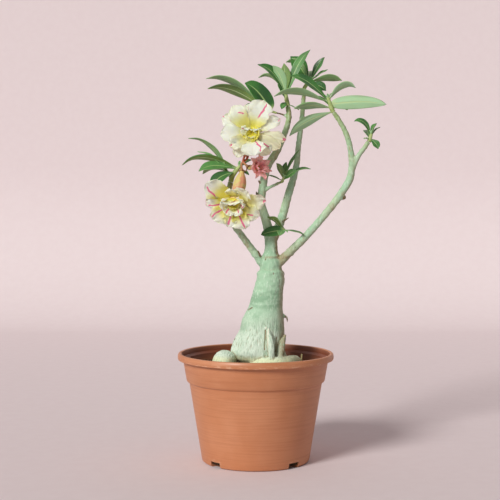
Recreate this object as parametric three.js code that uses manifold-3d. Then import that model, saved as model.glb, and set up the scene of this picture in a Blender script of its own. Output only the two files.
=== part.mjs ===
// A potted desert rose (adenium): a swollen grey-green caudex with four woody branches, leafy shoot
// tips and double blooms, standing in the potting mix of a round nursery pot.
// Millimetres, +Z up. The origin is the centre of the pot's base, on the surface that it stands on.
// +X is to the right and +Y to the back. Angles are in degrees: azimuth 0 is right, 90 is the back,
// 180 is left and 270 is the front, and a rise is measured up from level.
import * as THREE from 'three';
import { mergeVertices } from 'three/addons/utils/BufferGeometryUtils.js';
import Module from 'manifold-3d';

const wasm = await Module();
wasm.setup();

// ---------------------------------------------------------------- driving dimensions

const GAP = 0.35; // clearance between two pieces that touch
const UP = new THREE.Vector3(0, 0, 1);

const POT = {
  height: 125,
  rimRadius: 90, // outside of the rolled rim
  mouthRadius: 85.5,
  rimBand: 7.5, // height of the rolled rim
  collarTop: 83.8,
  collarBottom: 79.8,
  collarFoot: 93.5, // height of the step under the collar
  stepDrop: 2,
  bodyTop: 76.7,
  baseRadius: 62.5,
  baseRound: 3.5,
  wall: 1.9,
  floor: 2.6,
  sides: 36,
};
const NOTCH = { count: 4, firstAngle: 43, width: 15, height: 6.8, depth: 9 };

const SOIL = { top: 110, crown: 1.6, grain: 0.7, rings: 3 };

const BLADE = { thick: 0.8, leafRows: 6, petalRows: 5, innerRows: 3, foldFrom: 11.5 };

const SMALL_LEAF = 26; // a leaf shorter than this has few rows

const STICK = { foot: [51, 6, 92], head: [53.5, 5, 122.5], radius: 1.1 };

// Trunk of the caudex: height, centre across, and half width.
const TRUNK = [
  [86, 9, 17],
  [100, 9.5, 21],
  [112, 9.5, 25],
  [119, 5.5, 31],
  [127, 2.2, 31.5],
  [140, 4.4, 29.3],
  [151.5, 7.3, 26],
  [163, 8.2, 24.4],
  [177, 11.2, 19.7],
  [187, 12.9, 18.6],
  [198, 14.7, 16.8],
  [209, 17, 16.2],
  [217.5, 17, 15.1],
  [221.7, 17.3, 13.1],
  [230, 17.9, 11.9],
  [237, 17.4, 9.6],
  [244, 17.9, 7.2],
  [257, 17.4, 7.5],
  [266, 17, 8.6],
];
const TRUNK_DEPTH = 0.93; // front-to-back half width as a share of the half width across
const TRUNK_SIDES = 20;
const TRUNK_FLUTE = 0.02; // depth of the shallow flutes, as a share of the half width

// Woody limbs: points as x, y, z and radius.
const BRANCHES = {
  left: [
    [9, -1, 226, 4.8],
    [-4, -4, 244, 4.1],
    [-16.5, -9, 261, 3.8],
    [-27, -14, 276, 3.5],
    [-31.5, -17, 295, 3.3],
    [-31, -19, 310, 3.2],
    [-28.5, -19.5, 321, 3],
  ],
  centre: [
    [17, -1, 256, 5.6],
    [11.5, -3, 279, 5.3],
    [6.5, -5, 295, 4.8],
    [7.5, -7, 313, 4.6],
    [13, -8, 338, 4.3],
    [23.5, -9, 356, 4.3],
    [34, -9, 380, 3.3],
    [38, -9, 396, 2.9],
    [36.5, -8, 408, 2.6],
  ],
  right: [
    [20, 1, 256, 5.4],
    [30, 3, 280, 4.9],
    [37, 4, 305, 4.5],
    [46.5, 6, 338, 3.7],
    [49.5, 7, 365, 3.1],
    [53, 8, 391, 2.9],
    [54.8, 9, 412, 2.5],
    [56, 10, 428, 2.3],
  ],
  farRight: [
    [22, -1, 224, 5.8],
    [40, -3, 242, 4.9],
    [57, -6, 259, 4.4],
    [80, -9, 285.5, 4.3],
    [96, -11, 306.5, 4.2],
    [107.5, -12, 326, 4.3],
    [109.2, -13, 342, 3.6],
    [107, -13, 362, 3.2],
    [102, -13, 378, 2.9],
    [93, -12.2, 394, 2.6],
    [88.6, -12, 400.5, 2.5],
  ],
  fork: [
    [108.5, -12.5, 333, 3.4],
    [116, -14, 350, 2.9],
    [124, -14.6, 361, 2.6],
    [128, -15, 367, 2.5],
  ],
};

// Side twigs, dry stubs and bark buds.
const TWIGS = [
  [[8, -7, 311, 2.2], [20, -10, 317.5, 1.7], [28.5, -13.5, 321.3, 1.5]],
  [[28, 1, 272, 2.6], [30, -5, 269.5, 2], [31, -8.5, 268.3, 1.7]],
  [[37, -9, 396, 2], [30, -9.5, 398.5, 1.4], [24, -10, 400, 1.3]],
  [[7, -2, 233, 2.2], [4.5, -4, 238, 1.8], [3, -5, 242.5, 1]],
  [[29, 2, 275, 2], [33, -1, 277.5, 1.3], [37.5, -3, 280.5, 1]],
  [[30, -2, 168, 3], [35.5, -2.5, 166, 1.6], [36.6, -3, 160, 0.8]],
  [[8, -8, 318, 2.2], [4, -9.5, 321.5, 1.4], [2.6, -10, 323.5, 0.7]],
  [[7, -7, 305, 2.8], [2, -9, 306, 2.1], [0.6, -10, 310.5, 0.9]],
  [[96, -11, 304, 3.2], [101, -11.5, 303.5, 2.2], [102.2, -12, 305, 1.2]],
];

// Roots that stand clear of the soil: the round knee at the left, the coil round the front and
// right, two finger roots, and the buried root that carries the knee.
const ROOTS = [
  [[-36, -15, 88, 11], [-36, -15, 104, 13.6], [-36, -15, 113, 14.8], [-35.8, -15, 121, 13],
    [-35.6, -15, 127, 9], [-35.5, -15, 130, 3.5]],
  [[-37, -15, 97, 8], [-20, -10, 95, 9], [2, -4, 96, 10]],
  [[-4, -20, 113.5, 7], [12, -29, 115.5, 7.6], [28, -28, 116.5, 7.4], [41, -17, 116.5, 7.2],
    [46, -4, 114.5, 6.4], [43, 5, 107, 4.6]],
  [[15, -21, 152, 1.4], [17.5, -25.5, 142, 3.4], [18.8, -28.5, 131, 3.9], [19, -29.5, 122, 3.8]],
  [[27, -14, 147, 1.8], [28.5, -19, 138, 4], [29, -22.5, 129, 4.8], [28, -25, 121, 4.6]],
];

// Leaves of a shoot: place along the green tip (0 foot, 1 end), azimuth, rise, length, width,
// how far the blade bends down, and how far its upper face is rolled to the front.
const SHOOTS = {
  leaves_left: {
    foot: ['left', [-26.5, -19.8, 328], [-22.5, -20.2, 334], [-18.5, -20.6, 338.5]],
    radii: [2.9, 2.6, 2],
    leaves: [
      [0.2, 182, 66, 73, 12, 86, -40],
      [0.3, 178, 56, 52, 7, 66, 20],
      [0.9, 183, 24, 68, 18, 84, -30],
      [0.85, 190, 12, 46, 15, 62, 42],
      [0.7, 214, -14, 37, 17, 62, 30],
      [0.9, 24, 42, 20, 7, 60, 30],
      [0.75, 340, -6, 17, 6, 60, 30],
      [0.6, 142, 16, 48, 17, 60, 0],
    ],
  },
  leaves_behind_bloom: {
    foot: ['twig', [18, -10.8, 402], [12, -11.6, 404], [7, -12, 406.5]],
    radii: [1.5, 1.7, 1.6],
    leaves: [
      [0.95, 179, 44, 76, 14, 68, -30],
      [0.9, 184, 34, 70, 19, 62, -45],
      [0.55, 188, 56, 44, 23, 40, 60],
      [0.95, 205, 10, 22, 7, 30, 30],
      [0.7, 152, 44, 46, 17, 70, 0],
    ],
  },
  leaves_centre: {
    foot: ['centre', [35.2, -8, 415], [34, -8, 422]],
    radii: [2.5, 2],
    leaves: [
      [0.9, 182, 64, 50, 17, 66, 40],
      [0.8, 172, 66, 46, 8, 125, -30],
      [0.9, 184, 76, 38, 13, 40, -68],
      [0.95, 168, 88, 36, 13, 6, -80],
      [0.6, 190, 68, 22, 10, 40, 60],
      [0.85, 10, 72, 62, 11, 38, 60],
      [0.5, 235, -25, 15, 7, 60, 30],
      [0.8, 100, 62, 44, 17, 50, 0],
      [0.32, 350, -24, 15, 4, 14, 10],
    ],
  },
  leaves_right: {
    foot: ['right', [59, 10, 434.5], [64, 10, 439.5]],
    radii: [2.2, 1.8],
    leaves: [
      [0.85, 178, 60, 37, 19, 24, 72],
      [0.95, 2, 64, 32, 10, 20, 50],
      [0.95, 0, 38, 24, 5, 26, 30],
      [0.9, 0, 12, 38, 12, 42, -38],
      [0.7, 352, -8, 24, 13, 66, 55],
      [0.8, 170, 70, 40, 14, 110, -30],
      [0.8, 85, 38, 44, 17, 60, 0],
    ],
  },
  leaves_top_right: {
    foot: ['farRight', [85.6, -12, 406.5], [82.4, -12, 416]],
    radii: [2.6, 2],
    leaves: [
      [0.4, 351, 15, 64, 22, 40, -42],
      [0.95, 2, 52, 38, 13, 112, -40],
      [0.85, 190, 20, 67, 17, 58, -22],
      [0.6, 189, 8, 44, 14, 40, -40],
      [0.15, 193, -18, 60, 16, 44, -50],
      [0.85, 188, 46, 56, 15, 50, 50],
      [0.7, 24, 32, 31, 9, 44, 20],
      [0.7, 186, 40, 22, 8, 44, 30],
      [0.5, 62, 14, 46, 17, 44, 0],
    ],
  },
  leaves_far_right: {
    foot: ['fork', [129.5, -15, 370.5], [131, -15, 375]],
    radii: [2.4, 1.8],
    leaves: [
      [0.85, 181, 72, 29, 7, 132, 20],
      [0.9, 350, 74, 16, 10, 45, 30],
      [0.85, 5, 55, 16, 5, 60, 10],
      [0.7, 335, -40, 16, 9, 62, 50],
      [0.5, 200, 15, 8, 6, 60, 0],
      [0.6, 100, 40, 24, 9, 60, 0],
    ],
  },
  leaves_middle: {
    foot: ['side', [30.5, -14.6, 323.6], [32, -15, 326]],
    radii: [1.6, 1.5],
    leaves: [
      [0.85, 178, 74, 20, 8, 40, -60],
      [0.95, 2, 84, 19, 7, 15, 60],
      [0.9, 3, 66, 38, 6, 20, 30],
      [0.8, 0, 50, 14, 8, 20, -50],
      [0.6, 336, 38, 21, 11, 30, 60],
      [0.9, 358, 34, 34, 7, 58, 25],
      [0.5, 184, 25, 18, 5, 20, 20],
    ],
  },
  leaves_neck: {
    foot: ['neck', [31.6, -10.5, 267.6], [32.2, -13, 266.8]],
    radii: [1.8, 1.6],
    leaves: [
      [0.95, 184, 6, 28, 12, 34, 55],
      [0.95, 248, -14, 15, 9, 60, 10],
      [0.6, 188, 48, 24, 10, 58, -30],
      [0.95, 355, -6, 24, 5, 42, 20],
    ],
  },
};

// Flower stalks: a peduncle that forks to three calyces and one small bud.
const STALKS = {
  peduncle: [[-14.6, -21.6, 342.4], [-14.2, -22.4, 345]],
  pedicels: [
    [[-14.3, -22.2, 344.5], [-13.8, -24, 347.5], [-12.9, -25.8, 350]],
    [[-14.5, -22, 343.6], [-13, -25, 342.2], [-10.4, -27, 339.6]],
    [[-14.7, -22, 343], [-16.2, -26.4, 341], [-16, -28.4, 336.5]],
  ],
  bud: [[-14.3, -22.2, 344.5], [-10.8, -21.6, 346.5], [-9.3, -21.4, 350], [-9, -21.4, 354]],
  radius: 1.25,
  calyxLength: 3.6,
  calyxRadius: 2.1,
};

// Blooms: the axis that the throat faces along, the tube's first radius on its calyx and then its
// route with radii, and the petals as angle round the throat (0 right, 90 up), lift to the front,
// length, width, and backward bend.
const BLOOMS = {
  bloom_upper: {
    facing: [-0.12, -0.97, 0.14],
    calyx: 0,
    tube: [
      1.7,
      [-11.6, -30, 360, 2.6],
      [-9, -35.5, 367.5, 4],
      [-5.8, -41.5, 372.6, 5.8],
      [-4.6, -46.5, 374.2, 8],
    ],
    petals: [
      [69, 22, 34, 27, 42],
      [126, 26, 33, 22, 50],
      [184, 24, 30, 21, 40],
      [214, 34, 25, 17, 60],
      [236, 8, 26, 15, 40],
      [279, 24, 28, 25, 46],
      [341, 12, 35, 21, 92],
      [24, 12, 33, 14, 66],
      [100, 4, 29, 20, 30],
      [312, 2, 25, 17, 40],
    ],
    inner: [
      [84, 84, 13, 21, -52],
      [24, 58, 12, 12, 12],
      [164, 64, 15, 13, 20],
      [256, 64, 11, 17, 18],
      [318, 56, 12, 12, 14],
    ],
    throat: 5.6,
  },
  bloom_lower: {
    facing: [-0.16, -0.76, -0.63],
    calyx: 2,
    tube: [
      2.4,
      [-16.6, -30.4, 326.4, 5.4],
      [-18, -31.4, 319, 7.3],
      [-20, -34, 311, 7],
      [-22.4, -37.4, 303.6, 6.8],
      [-24.4, -41.8, 298.4, 8.4],
    ],
    petals: [
      [134, 22, 34, 27, 30],
      [176, 20, 27, 17, 50],
      [218, 26, 27, 20, 56],
      [254, 30, 25, 17, 52],
      [290, 28, 28, 20, 56],
      [330, 20, 27, 19, 48],
      [4, 12, 31, 19, 44],
      [46, 10, 26, 24, 24],
      [88, 14, 24, 17, 20],
      [198, 2, 25, 14, 40],
    ],
    inner: [
      [20, 58, 15, 14, 24],
      [92, 84, 15, 22, -56],
      [164, 60, 15, 14, 24],
      [236, 58, 14, 13, 30],
      [300, 60, 14, 13, 30],
    ],
    throat: 6.2,
  },
  bloom_pink: {
    facing: [0.86, -0.48, 0.1],
    calyx: 1,
    tube: [
      1.8,
      [-4, -30.9, 338, 2.5],
      [-1, -32.8, 337.4, 3.2],
      [2, -34.6, 337, 3.6],
    ],
    petals: [
      [92, 40, 16, 9.5, 26],
      [164, 34, 14, 9.5, 32],
      [230, 32, 15, 9.5, 32],
      [302, 42, 16, 9.5, 22],
      [20, 50, 16, 9.5, 20],
    ],
    inner: [[60, 68, 13, 7, 10], [180, 64, 13, 7, 10], [300, 68, 13, 7, 10]],
    throat: 2.2,
  },
};

const FINISH = {
  pot: { color: 0xb5653f, roughness: 0.55 },
  soil: { color: 0x4a3a2a, roughness: 1 },
  bark: { color: 0xb3c9ad, roughness: 0.75 },
  leaf: { color: 0x3f7a34, roughness: 0.4 },
  stalk: { color: 0xb05a3c, roughness: 0.6 },
  cream: { color: 0xf1eec4, roughness: 0.6 },
  pink: { color: 0xf07f86, roughness: 0.6 },
  straw: { color: 0xd8cfa0, roughness: 0.8 },
};

// ---------------------------------------------------------------- solids

const radians = THREE.MathUtils.degToRad;
const vector = ([x, y, z]) => new THREE.Vector3(x, y, z);

// A repeatable random draw between 0 and 1.
function seeded(seed) {
  let state = seed;
  return () => {
    state = (state * 16807) % 2147483647;
    return state / 2147483647;
  };
}

function signedVolume(position, index) {
  const [a, b, c] = [new THREE.Vector3(), new THREE.Vector3(), new THREE.Vector3()];
  let sum = 0;
  for (let i = 0; i < index.length; i += 3) {
    a.fromArray(position, 3 * index[i]);
    b.fromArray(position, 3 * index[i + 1]);
    c.fromArray(position, 3 * index[i + 2]);
    sum += a.dot(b.cross(c));
  }
  return sum / 6;
}

// A closed geometry as a solid: vertices shared, flat triangles dropped, faces pointing out.
function toSolid(geometry) {
  const bare = geometry.clone();
  bare.deleteAttribute('normal');
  bare.deleteAttribute('uv');
  const merged = mergeVertices(bare, 1e-4);
  const position = merged.attributes.position.array;
  const triangles = [];
  const source = merged.index.array;
  for (let i = 0; i < source.length; i += 3) {
    const [a, b, c] = source.slice(i, i + 3);
    if (a !== b && b !== c && c !== a) triangles.push(a, b, c);
  }
  if (signedVolume(position, triangles) < 0) triangles.reverse();
  return new wasm.Manifold(new wasm.Mesh({
    numProp: 3,
    vertProperties: new Float32Array(position),
    triVerts: new Uint32Array(triangles),
  }));
}

function toGeometry(solid) {
  const mesh = solid.getMesh();
  const geometry = new THREE.BufferGeometry();
  geometry.setAttribute('position', new THREE.Float32BufferAttribute(mesh.vertProperties, 3));
  geometry.setIndex([...mesh.triVerts]);
  geometry.computeVertexNormals();
  return geometry;
}

const fuse = (solids) => solids.reduce((whole, next) => whole.add(next));

// The largest body of a solid, which also fills any hollow that fusing has sealed.
const oneBody = (solid) => solid.decompose().reduce((a, b) => (a.volume() > b.volume() ? a : b));

// A closed body through rings of the same, even number of points. The two faces of a thin blade
// are split along the same diagonals.
function loft(rings) {
  const sides = rings[0].length;
  const index = [];
  for (let i = 0; i + 1 < rings.length; i += 1) {
    for (let k = 0; k < sides; k += 1) {
      const a = i * sides + k;
      const b = i * sides + (k + 1) % sides;
      const [c, d] = [a + sides, b + sides];
      if (2 * k < sides) index.push(a, b, d, a, d, c);
      else index.push(a, b, c, b, d, c);
    }
  }
  const end = (rings.length - 1) * sides;
  for (let k = 0; k < sides / 2 - 1; k += 1) {
    const [near, far] = [sides - 1 - k, sides - 2 - k];
    index.push(k + 1, k, near, k + 1, near, far);
    index.push(end + k, end + k + 1, end + near, end + k + 1, end + far, end + near);
  }
  const geometry = new THREE.BufferGeometry();
  geometry.setFromPoints(rings.flat());
  geometry.setIndex(index);
  return geometry;
}

// A round limb of changing thickness along a smooth curve through points of x, y, z, radius.
// `grow` widens it and lengthens both ends, for the hole that it stands in.
function limb(points, { sides = 8, grow = 0 } = {}) {
  const curve = new THREE.CatmullRomCurve3(points.map(vector));
  const last = points.length - 1;
  const rings = [];
  let across = null;
  for (let i = 0; i <= last; i += 1) {
    const along = curve.getTangent(i / last);
    const centre = curve.points[i].clone();
    if (i === 0) centre.addScaledVector(along, -grow);
    if (i === last) centre.addScaledVector(along, grow);
    const radius = points[i][3] + grow;
    if (!across) across = Math.abs(along.x) < 0.8 ? new THREE.Vector3(1, 0, 0) : UP;
    across = across.clone().addScaledVector(along, -across.dot(along)).normalize();
    const upward = along.clone().cross(across);
    rings.push(Array.from({ length: sides }, (_, k) => {
      const turn = 2 * Math.PI * k / sides;
      return centre.clone()
        .addScaledVector(across, radius * Math.cos(turn))
        .addScaledVector(upward, radius * Math.sin(turn));
    }));
  }
  return toSolid(loft(rings));
}

// Half widths along a blade, as a share of the widest: a spoon-shaped leaf and a broad petal.
const leafOutline = (s) => Math.max(0.11, Math.sin(Math.PI * s ** 1.45) ** 0.85);
const petalOutline = (s) => (s < 0.62
  ? 0.26 + 0.74 * Math.sin(Math.PI / 2 * s / 0.62)
  : Math.sqrt(1 - 0.9 * ((s - 0.62) / 0.38) ** 2));
const pointedOutline = (s) => Math.max(0.1, Math.sin(Math.PI * s ** 0.8) ** 0.9 + 0.3 * (1 - s));

// A thin blade that leaves its base along `out` and bends away from `up`. Roll turns its upper
// face about its length, to the front where it can. A wide blade is folded along its midrib into a
// shallow gutter; a narrow one is flat.
function blade({ base, out, up, length, width, bend, roll = 0, outline, rows, thick = BLADE.thick }) {
  const [stations, fold] = width < BLADE.foldFrom ? [[-1, 1], 0] : [[-1, 0, 1], 0.22];
  const level = out.clone().cross(up).normalize();
  const front = level.y < 0 ? 1 : -1;
  const [cos, sin] = [Math.cos(radians(roll)), Math.sin(radians(roll)) * front];
  const point = base.clone();
  const rings = [];
  for (let i = 0; i <= rows; i += 1) {
    const s = i / rows;
    const along = out.clone().applyAxisAngle(level, -radians(bend) * s * s);
    const over = level.clone().cross(along);
    const face = over.clone().multiplyScalar(cos).addScaledVector(level, sin);
    const side = level.clone().multiplyScalar(cos).addScaledVector(over, -sin);
    const half = width / 2 * outline(s);
    const top = stations.map((k) => point.clone()
      .addScaledVector(side, k * half)
      .addScaledVector(face, Math.abs(k) * half * fold + thick / 2));
    const under = top.map((p) => p.clone().addScaledVector(face, -thick)).reverse();
    rings.push([...top, ...under]);
    point.addScaledVector(along, length / rows);
  }
  return toSolid(loft(rings));
}

function heading(azimuth, rise) {
  const level = Math.cos(radians(rise));
  return new THREE.Vector3(
    level * Math.cos(radians(azimuth)),
    level * Math.sin(radians(azimuth)),
    Math.sin(radians(rise)),
  );
}

// ---------------------------------------------------------------- pot, soil and stick

function potSolid() {
  const { height, rimRadius, mouthRadius, rimBand, wall, floor, baseRadius, baseRound } = POT;
  const underRim = height - rimBand;
  const stepFoot = POT.collarFoot - POT.stepDrop;
  const profile = [
    [0, 0],
    [baseRadius - baseRound, 0],
    [baseRadius - baseRound * 0.3, baseRound * 0.3],
    [baseRadius, baseRound],
    [POT.bodyTop, stepFoot],
    [POT.collarBottom, POT.collarFoot],
    [POT.collarTop, underRim],
    [rimRadius - 1.2, underRim],
    [rimRadius, underRim + 1.4],
    [rimRadius, height - 1.8],
    [rimRadius - 1.6, height],
    [mouthRadius + 0.9, height],
    [mouthRadius, height - 0.9],
    [POT.collarTop - wall, underRim - 0.6],
    [POT.collarBottom - wall, POT.collarFoot + 0.5],
    [POT.bodyTop - wall, stepFoot],
    [innerRadius(floor + 1.5), floor + 1.5],
    [innerRadius(floor + 1.5) - 1.5, floor],
    [0, floor],
  ];
  const notches = Array.from({ length: NOTCH.count }, (_, k) => notch(k));
  return notches.reduce((pot, cut) => pot.subtract(cut), toSolid(revolve(profile)));
}

// Inner radius of the tapered body at a height below the step.
function innerRadius(z) {
  const share = (z - POT.baseRound) / (POT.collarFoot - POT.stepDrop - POT.baseRound);
  return THREE.MathUtils.lerp(POT.baseRadius, POT.bodyTop, share) - POT.wall;
}

function revolve(profile) {
  const geometry = new THREE.LatheGeometry(profile.map(([r, z]) => new THREE.Vector2(r, z)), POT.sides);
  return geometry.rotateX(Math.PI / 2);
}

// A drain notch through the corner between the wall and the floor.
function notch(k) {
  const reach = NOTCH.depth + 8;
  const box = new THREE.BoxGeometry(reach, NOTCH.width, NOTCH.height + 2);
  box.translate(POT.baseRadius - NOTCH.depth + reach / 2, 0, NOTCH.height / 2 - 1);
  box.rotateZ(radians(270 + NOTCH.firstAngle + 360 * k / NOTCH.count));
  return toSolid(box);
}

// The potting mix: a plug that fills the pot, with a low crown and a crumbled surface.
function soilSolid() {
  const bottom = POT.floor + GAP;
  const edge = (z) => innerRadius(z) - GAP;
  const profile = [
    [0, bottom],
    [edge(bottom + 1.9) - 1.9, bottom],
    [edge(bottom + 1.9), bottom + 1.9],
    [POT.bodyTop - POT.wall - GAP, POT.collarFoot - POT.stepDrop],
    [POT.collarBottom - POT.wall - GAP, POT.collarFoot + 0.9],
  ];
  const taper = (POT.collarTop - POT.collarBottom) / (POT.height - POT.rimBand - POT.collarFoot);
  const rim = POT.collarBottom - POT.wall - GAP - 0.1 + taper * (SOIL.top - POT.collarFoot - 1.5);
  for (let i = 0; i <= SOIL.rings; i += 1) {
    const share = 1 - i / SOIL.rings;
    profile.push([rim * share, SOIL.top - 1 + SOIL.crown * (1 - share * share)]);
  }
  const geometry = mergeVertices(stripped(revolve(profile)), 1e-4);
  const position = geometry.attributes.position;
  const draw = seeded(11);
  for (let i = 0; i < position.count; i += 1) {
    const isSurface = position.getZ(i) > SOIL.top - 0.99;
    if (isSurface) position.setZ(i, position.getZ(i) + SOIL.grain * (2 * draw() - 1));
  }
  return toSolid(geometry);
}

function stripped(geometry) {
  geometry.deleteAttribute('normal');
  geometry.deleteAttribute('uv');
  return geometry;
}

function stickSolid(grow = 0) {
  const { foot, head, radius } = STICK;
  return limb([[...foot, radius], [...head, radius * 0.9]], { grow });
}

// ---------------------------------------------------------------- caudex

// The trunk, as upright rings with shallow flutes, wider than the real one by `grow`.
function trunkSolid(grow = 0) {
  const rings = TRUNK.map(([z, x, half], ring) => Array.from({ length: TRUNK_SIDES }, (_, k) => {
    const turn = 2 * Math.PI * k / TRUNK_SIDES;
    const radius = half * (1 + TRUNK_FLUTE * (k % 2 ? 1 : -1)) + grow;
    const height = ring === 0 ? z - grow : z;
    return new THREE.Vector3(x + radius * Math.cos(turn), radius * TRUNK_DEPTH * Math.sin(turn), height);
  }));
  return toSolid(loft(rings));
}

const rootSolids = (grow = 0) => ROOTS.map((route) => limb(route, { grow }));

function caudexSolid() {
  const branches = Object.values(BRANCHES).map((route) => limb(route));
  const twigs = TWIGS.map((route) => limb(route, { sides: 6 }));
  return oneBody(fuse([trunkSolid(), ...rootSolids(), ...branches, ...twigs]));
}

// ---------------------------------------------------------------- shoots

const SHOOT_FEET = { ...BRANCHES, side: TWIGS[0], neck: TWIGS[1], twig: TWIGS[2] };

// The foot of a green tip, a clearance beyond the flat end of the wood that carries it.
function footOf(route) {
  const end = vector(route.at(-1));
  const before = new THREE.CatmullRomCurve3(route.map(vector)).getTangent(1);
  return [end.clone().addScaledVector(before, GAP), end.clone().addScaledVector(before, GAP + 2)];
}

function shootSolid({ foot: [wood, ...rest], radii, leaves }) {
  const route = SHOOT_FEET[wood];
  const [start, lead] = footOf(route);
  const thickness = route.at(-1)[3];
  const stem = [
    [...start.toArray(), thickness],
    [...lead.toArray(), thickness],
    ...rest.map((place, i) => [...place, radii[i]]),
  ];
  const curve = new THREE.CatmullRomCurve3(stem.map(vector));
  const blades = leaves.map(([place, azimuth, rise, length, width, bend, roll]) => blade({
    base: curve.getPoint(place),
    out: heading(azimuth, rise),
    up: UP,
    length,
    width,
    bend,
    roll,
    outline: leafOutline,
    rows: length < SMALL_LEAF ? BLADE.innerRows : BLADE.leafRows,
  }));
  return oneBody(fuse([limb(stem, { sides: 6 }), ...blades]));
}

// ---------------------------------------------------------------- flowers

// A calyx on the end of a pedicel: a small cup that ends flat, with five short sepals.
function calyxSolids(route) {
  const curve = new THREE.CatmullRomCurve3(route.map(vector));
  const end = curve.getPoint(1);
  const along = curve.getTangent(1);
  const { calyxLength, calyxRadius, radius } = STALKS;
  const cup = limb([
    [...end.toArray(), radius],
    [...end.clone().addScaledVector(along, calyxLength * 0.4).toArray(), calyxRadius],
    [...end.clone().addScaledVector(along, calyxLength).toArray(), calyxRadius * 0.95],
  ]);
  const reference = Math.abs(along.z) < 0.9 ? UP : new THREE.Vector3(1, 0, 0);
  const across = along.clone().cross(reference).normalize();
  const sepals = Array.from({ length: 5 }, (_, k) => {
    const radial = across.clone().applyAxisAngle(along, 2 * Math.PI * k / 5);
    return blade({
      base: end.clone()
        .addScaledVector(along, calyxLength * 0.5)
        .addScaledVector(radial, calyxRadius * 0.5),
      out: radial.clone().multiplyScalar(1.3).add(along).normalize(),
      up: along,
      length: 4.4,
      width: 2.2,
      bend: 10,
      outline: pointedOutline,
      rows: 1,
      thick: 0.6,
    });
  });
  return [cup, ...sepals];
}

function stalksSolid() {
  const thick = (route) => route.map((place) => [...place, STALKS.radius]);
  const peduncle = STALKS.peduncle.map((place) => [...place, STALKS.radius * 1.3]);
  const run = new THREE.CatmullRomCurve3(peduncle.map(vector)).getTangent(0);
  peduncle[0] = [...vector(peduncle[0]).addScaledVector(run, GAP).toArray(), STALKS.radius * 1.3];
  const bud = STALKS.bud.map((place, i) => [...place, [1, 1.1, 1.5, 0.6][i]]);
  return oneBody(fuse([
    limb(peduncle),
    limb(bud, { sides: 6 }),
    ...STALKS.pedicels.map((route) => limb(thick(route), { sides: 6 })),
    ...STALKS.pedicels.flatMap(calyxSolids),
  ]));
}

// A bloom: a hollow tube that opens into the throat, with outer petals and short inner ones.
function bloomSolid({ facing, calyx, tube, petals, inner, throat }, petalForm) {
  const axis = vector(facing).normalize();
  const right = UP.clone().cross(axis).normalize();
  const above = axis.clone().cross(right);
  const mouth = vector(tube.at(-1));
  const pedicel = new THREE.CatmullRomCurve3(STALKS.pedicels[calyx].map(vector));
  const beyond = (reach) => pedicel.getPoint(1).addScaledVector(pedicel.getTangent(1), reach).toArray();
  const seat = STALKS.calyxLength + GAP;
  const route = [[...beyond(seat), tube[0]], [...beyond(seat + 1.2), tube[0] + 0.2], ...tube.slice(1)];
  const outside = limb(route);
  const wall = 1;
  const bore = route.slice(-3).map(([x, y, z, r]) => [x, y, z, r - wall]);
  const lip = mouth.clone().addScaledVector(axis, 1.5);
  const inside = limb([...bore, [...lip.toArray(), bore.at(-1)[3] + 0.6]]);
  const place = ([angle, lift, length, width, bend], ring, sink, rows) => {
    const radial = right.clone().multiplyScalar(Math.cos(radians(angle)))
      .addScaledVector(above, Math.sin(radians(angle)));
    return blade({
      base: mouth.clone().addScaledVector(radial, ring).addScaledVector(axis, -sink),
      out: radial.clone()
        .multiplyScalar(Math.cos(radians(lift)))
        .addScaledVector(axis, Math.sin(radians(lift))),
      up: axis,
      length,
      width,
      bend,
      outline: petalForm,
      rows,
    });
  };
  const outer = petals.map((petal, i) => place(petal, throat, i % 2 ? 1.6 : 0.8, BLADE.petalRows));
  const core = inner.map((petal) => place(petal, throat * 0.8, 0.6, BLADE.innerRows));
  return oneBody(fuse([outside.subtract(inside), ...outer, ...core]));
}

// ---------------------------------------------------------------- assembly

const adenium = new THREE.Group();

function addPart(name, solid, finish) {
  const material = new THREE.MeshStandardMaterial({ ...finish, metalness: 0 });
  const mesh = new THREE.Mesh(toGeometry(solid), material);
  mesh.name = name;
  adenium.add(mesh);
}

addPart('pot', potSolid(), FINISH.pot);

const holes = [trunkSolid(GAP), ...rootSolids(GAP), stickSolid(GAP)];
addPart('soil', oneBody(holes.reduce((soil, hole) => soil.subtract(hole), soilSolid())), FINISH.soil);

addPart('straw_stick', stickSolid(), FINISH.straw);
addPart('caudex', caudexSolid(), FINISH.bark);
for (const [name, shoot] of Object.entries(SHOOTS)) addPart(name, shootSolid(shoot), FINISH.leaf);
addPart('flower_stalks', stalksSolid(), FINISH.stalk);
addPart('bloom_upper', bloomSolid(BLOOMS.bloom_upper, petalOutline), FINISH.cream);
addPart('bloom_lower', bloomSolid(BLOOMS.bloom_lower, petalOutline), FINISH.cream);
addPart('bloom_pink', bloomSolid(BLOOMS.bloom_pink, pointedOutline), FINISH.pink);

export default adenium;
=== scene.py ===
"""A potted desert rose, dressed in its bark, leaves, petals, potting mix and pot plastic.

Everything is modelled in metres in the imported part's own frame: +Z up, +X to the right, +Y to the
back, and the origin at the centre of the pot's underside. Sizes in the tables are in millimetres
and angles in degrees: azimuth 0 is right, 90 is the back, and a rise is measured up from level.
"""

import logging
import random
from dataclasses import dataclass, field
from enum import Enum
from math import atan2, copysign, cos, pi, radians, sin, sqrt, tau
from typing import Callable, Sequence

import bmesh
import bpy
import numpy as np
from mathutils import Matrix, Vector, noise

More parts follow.
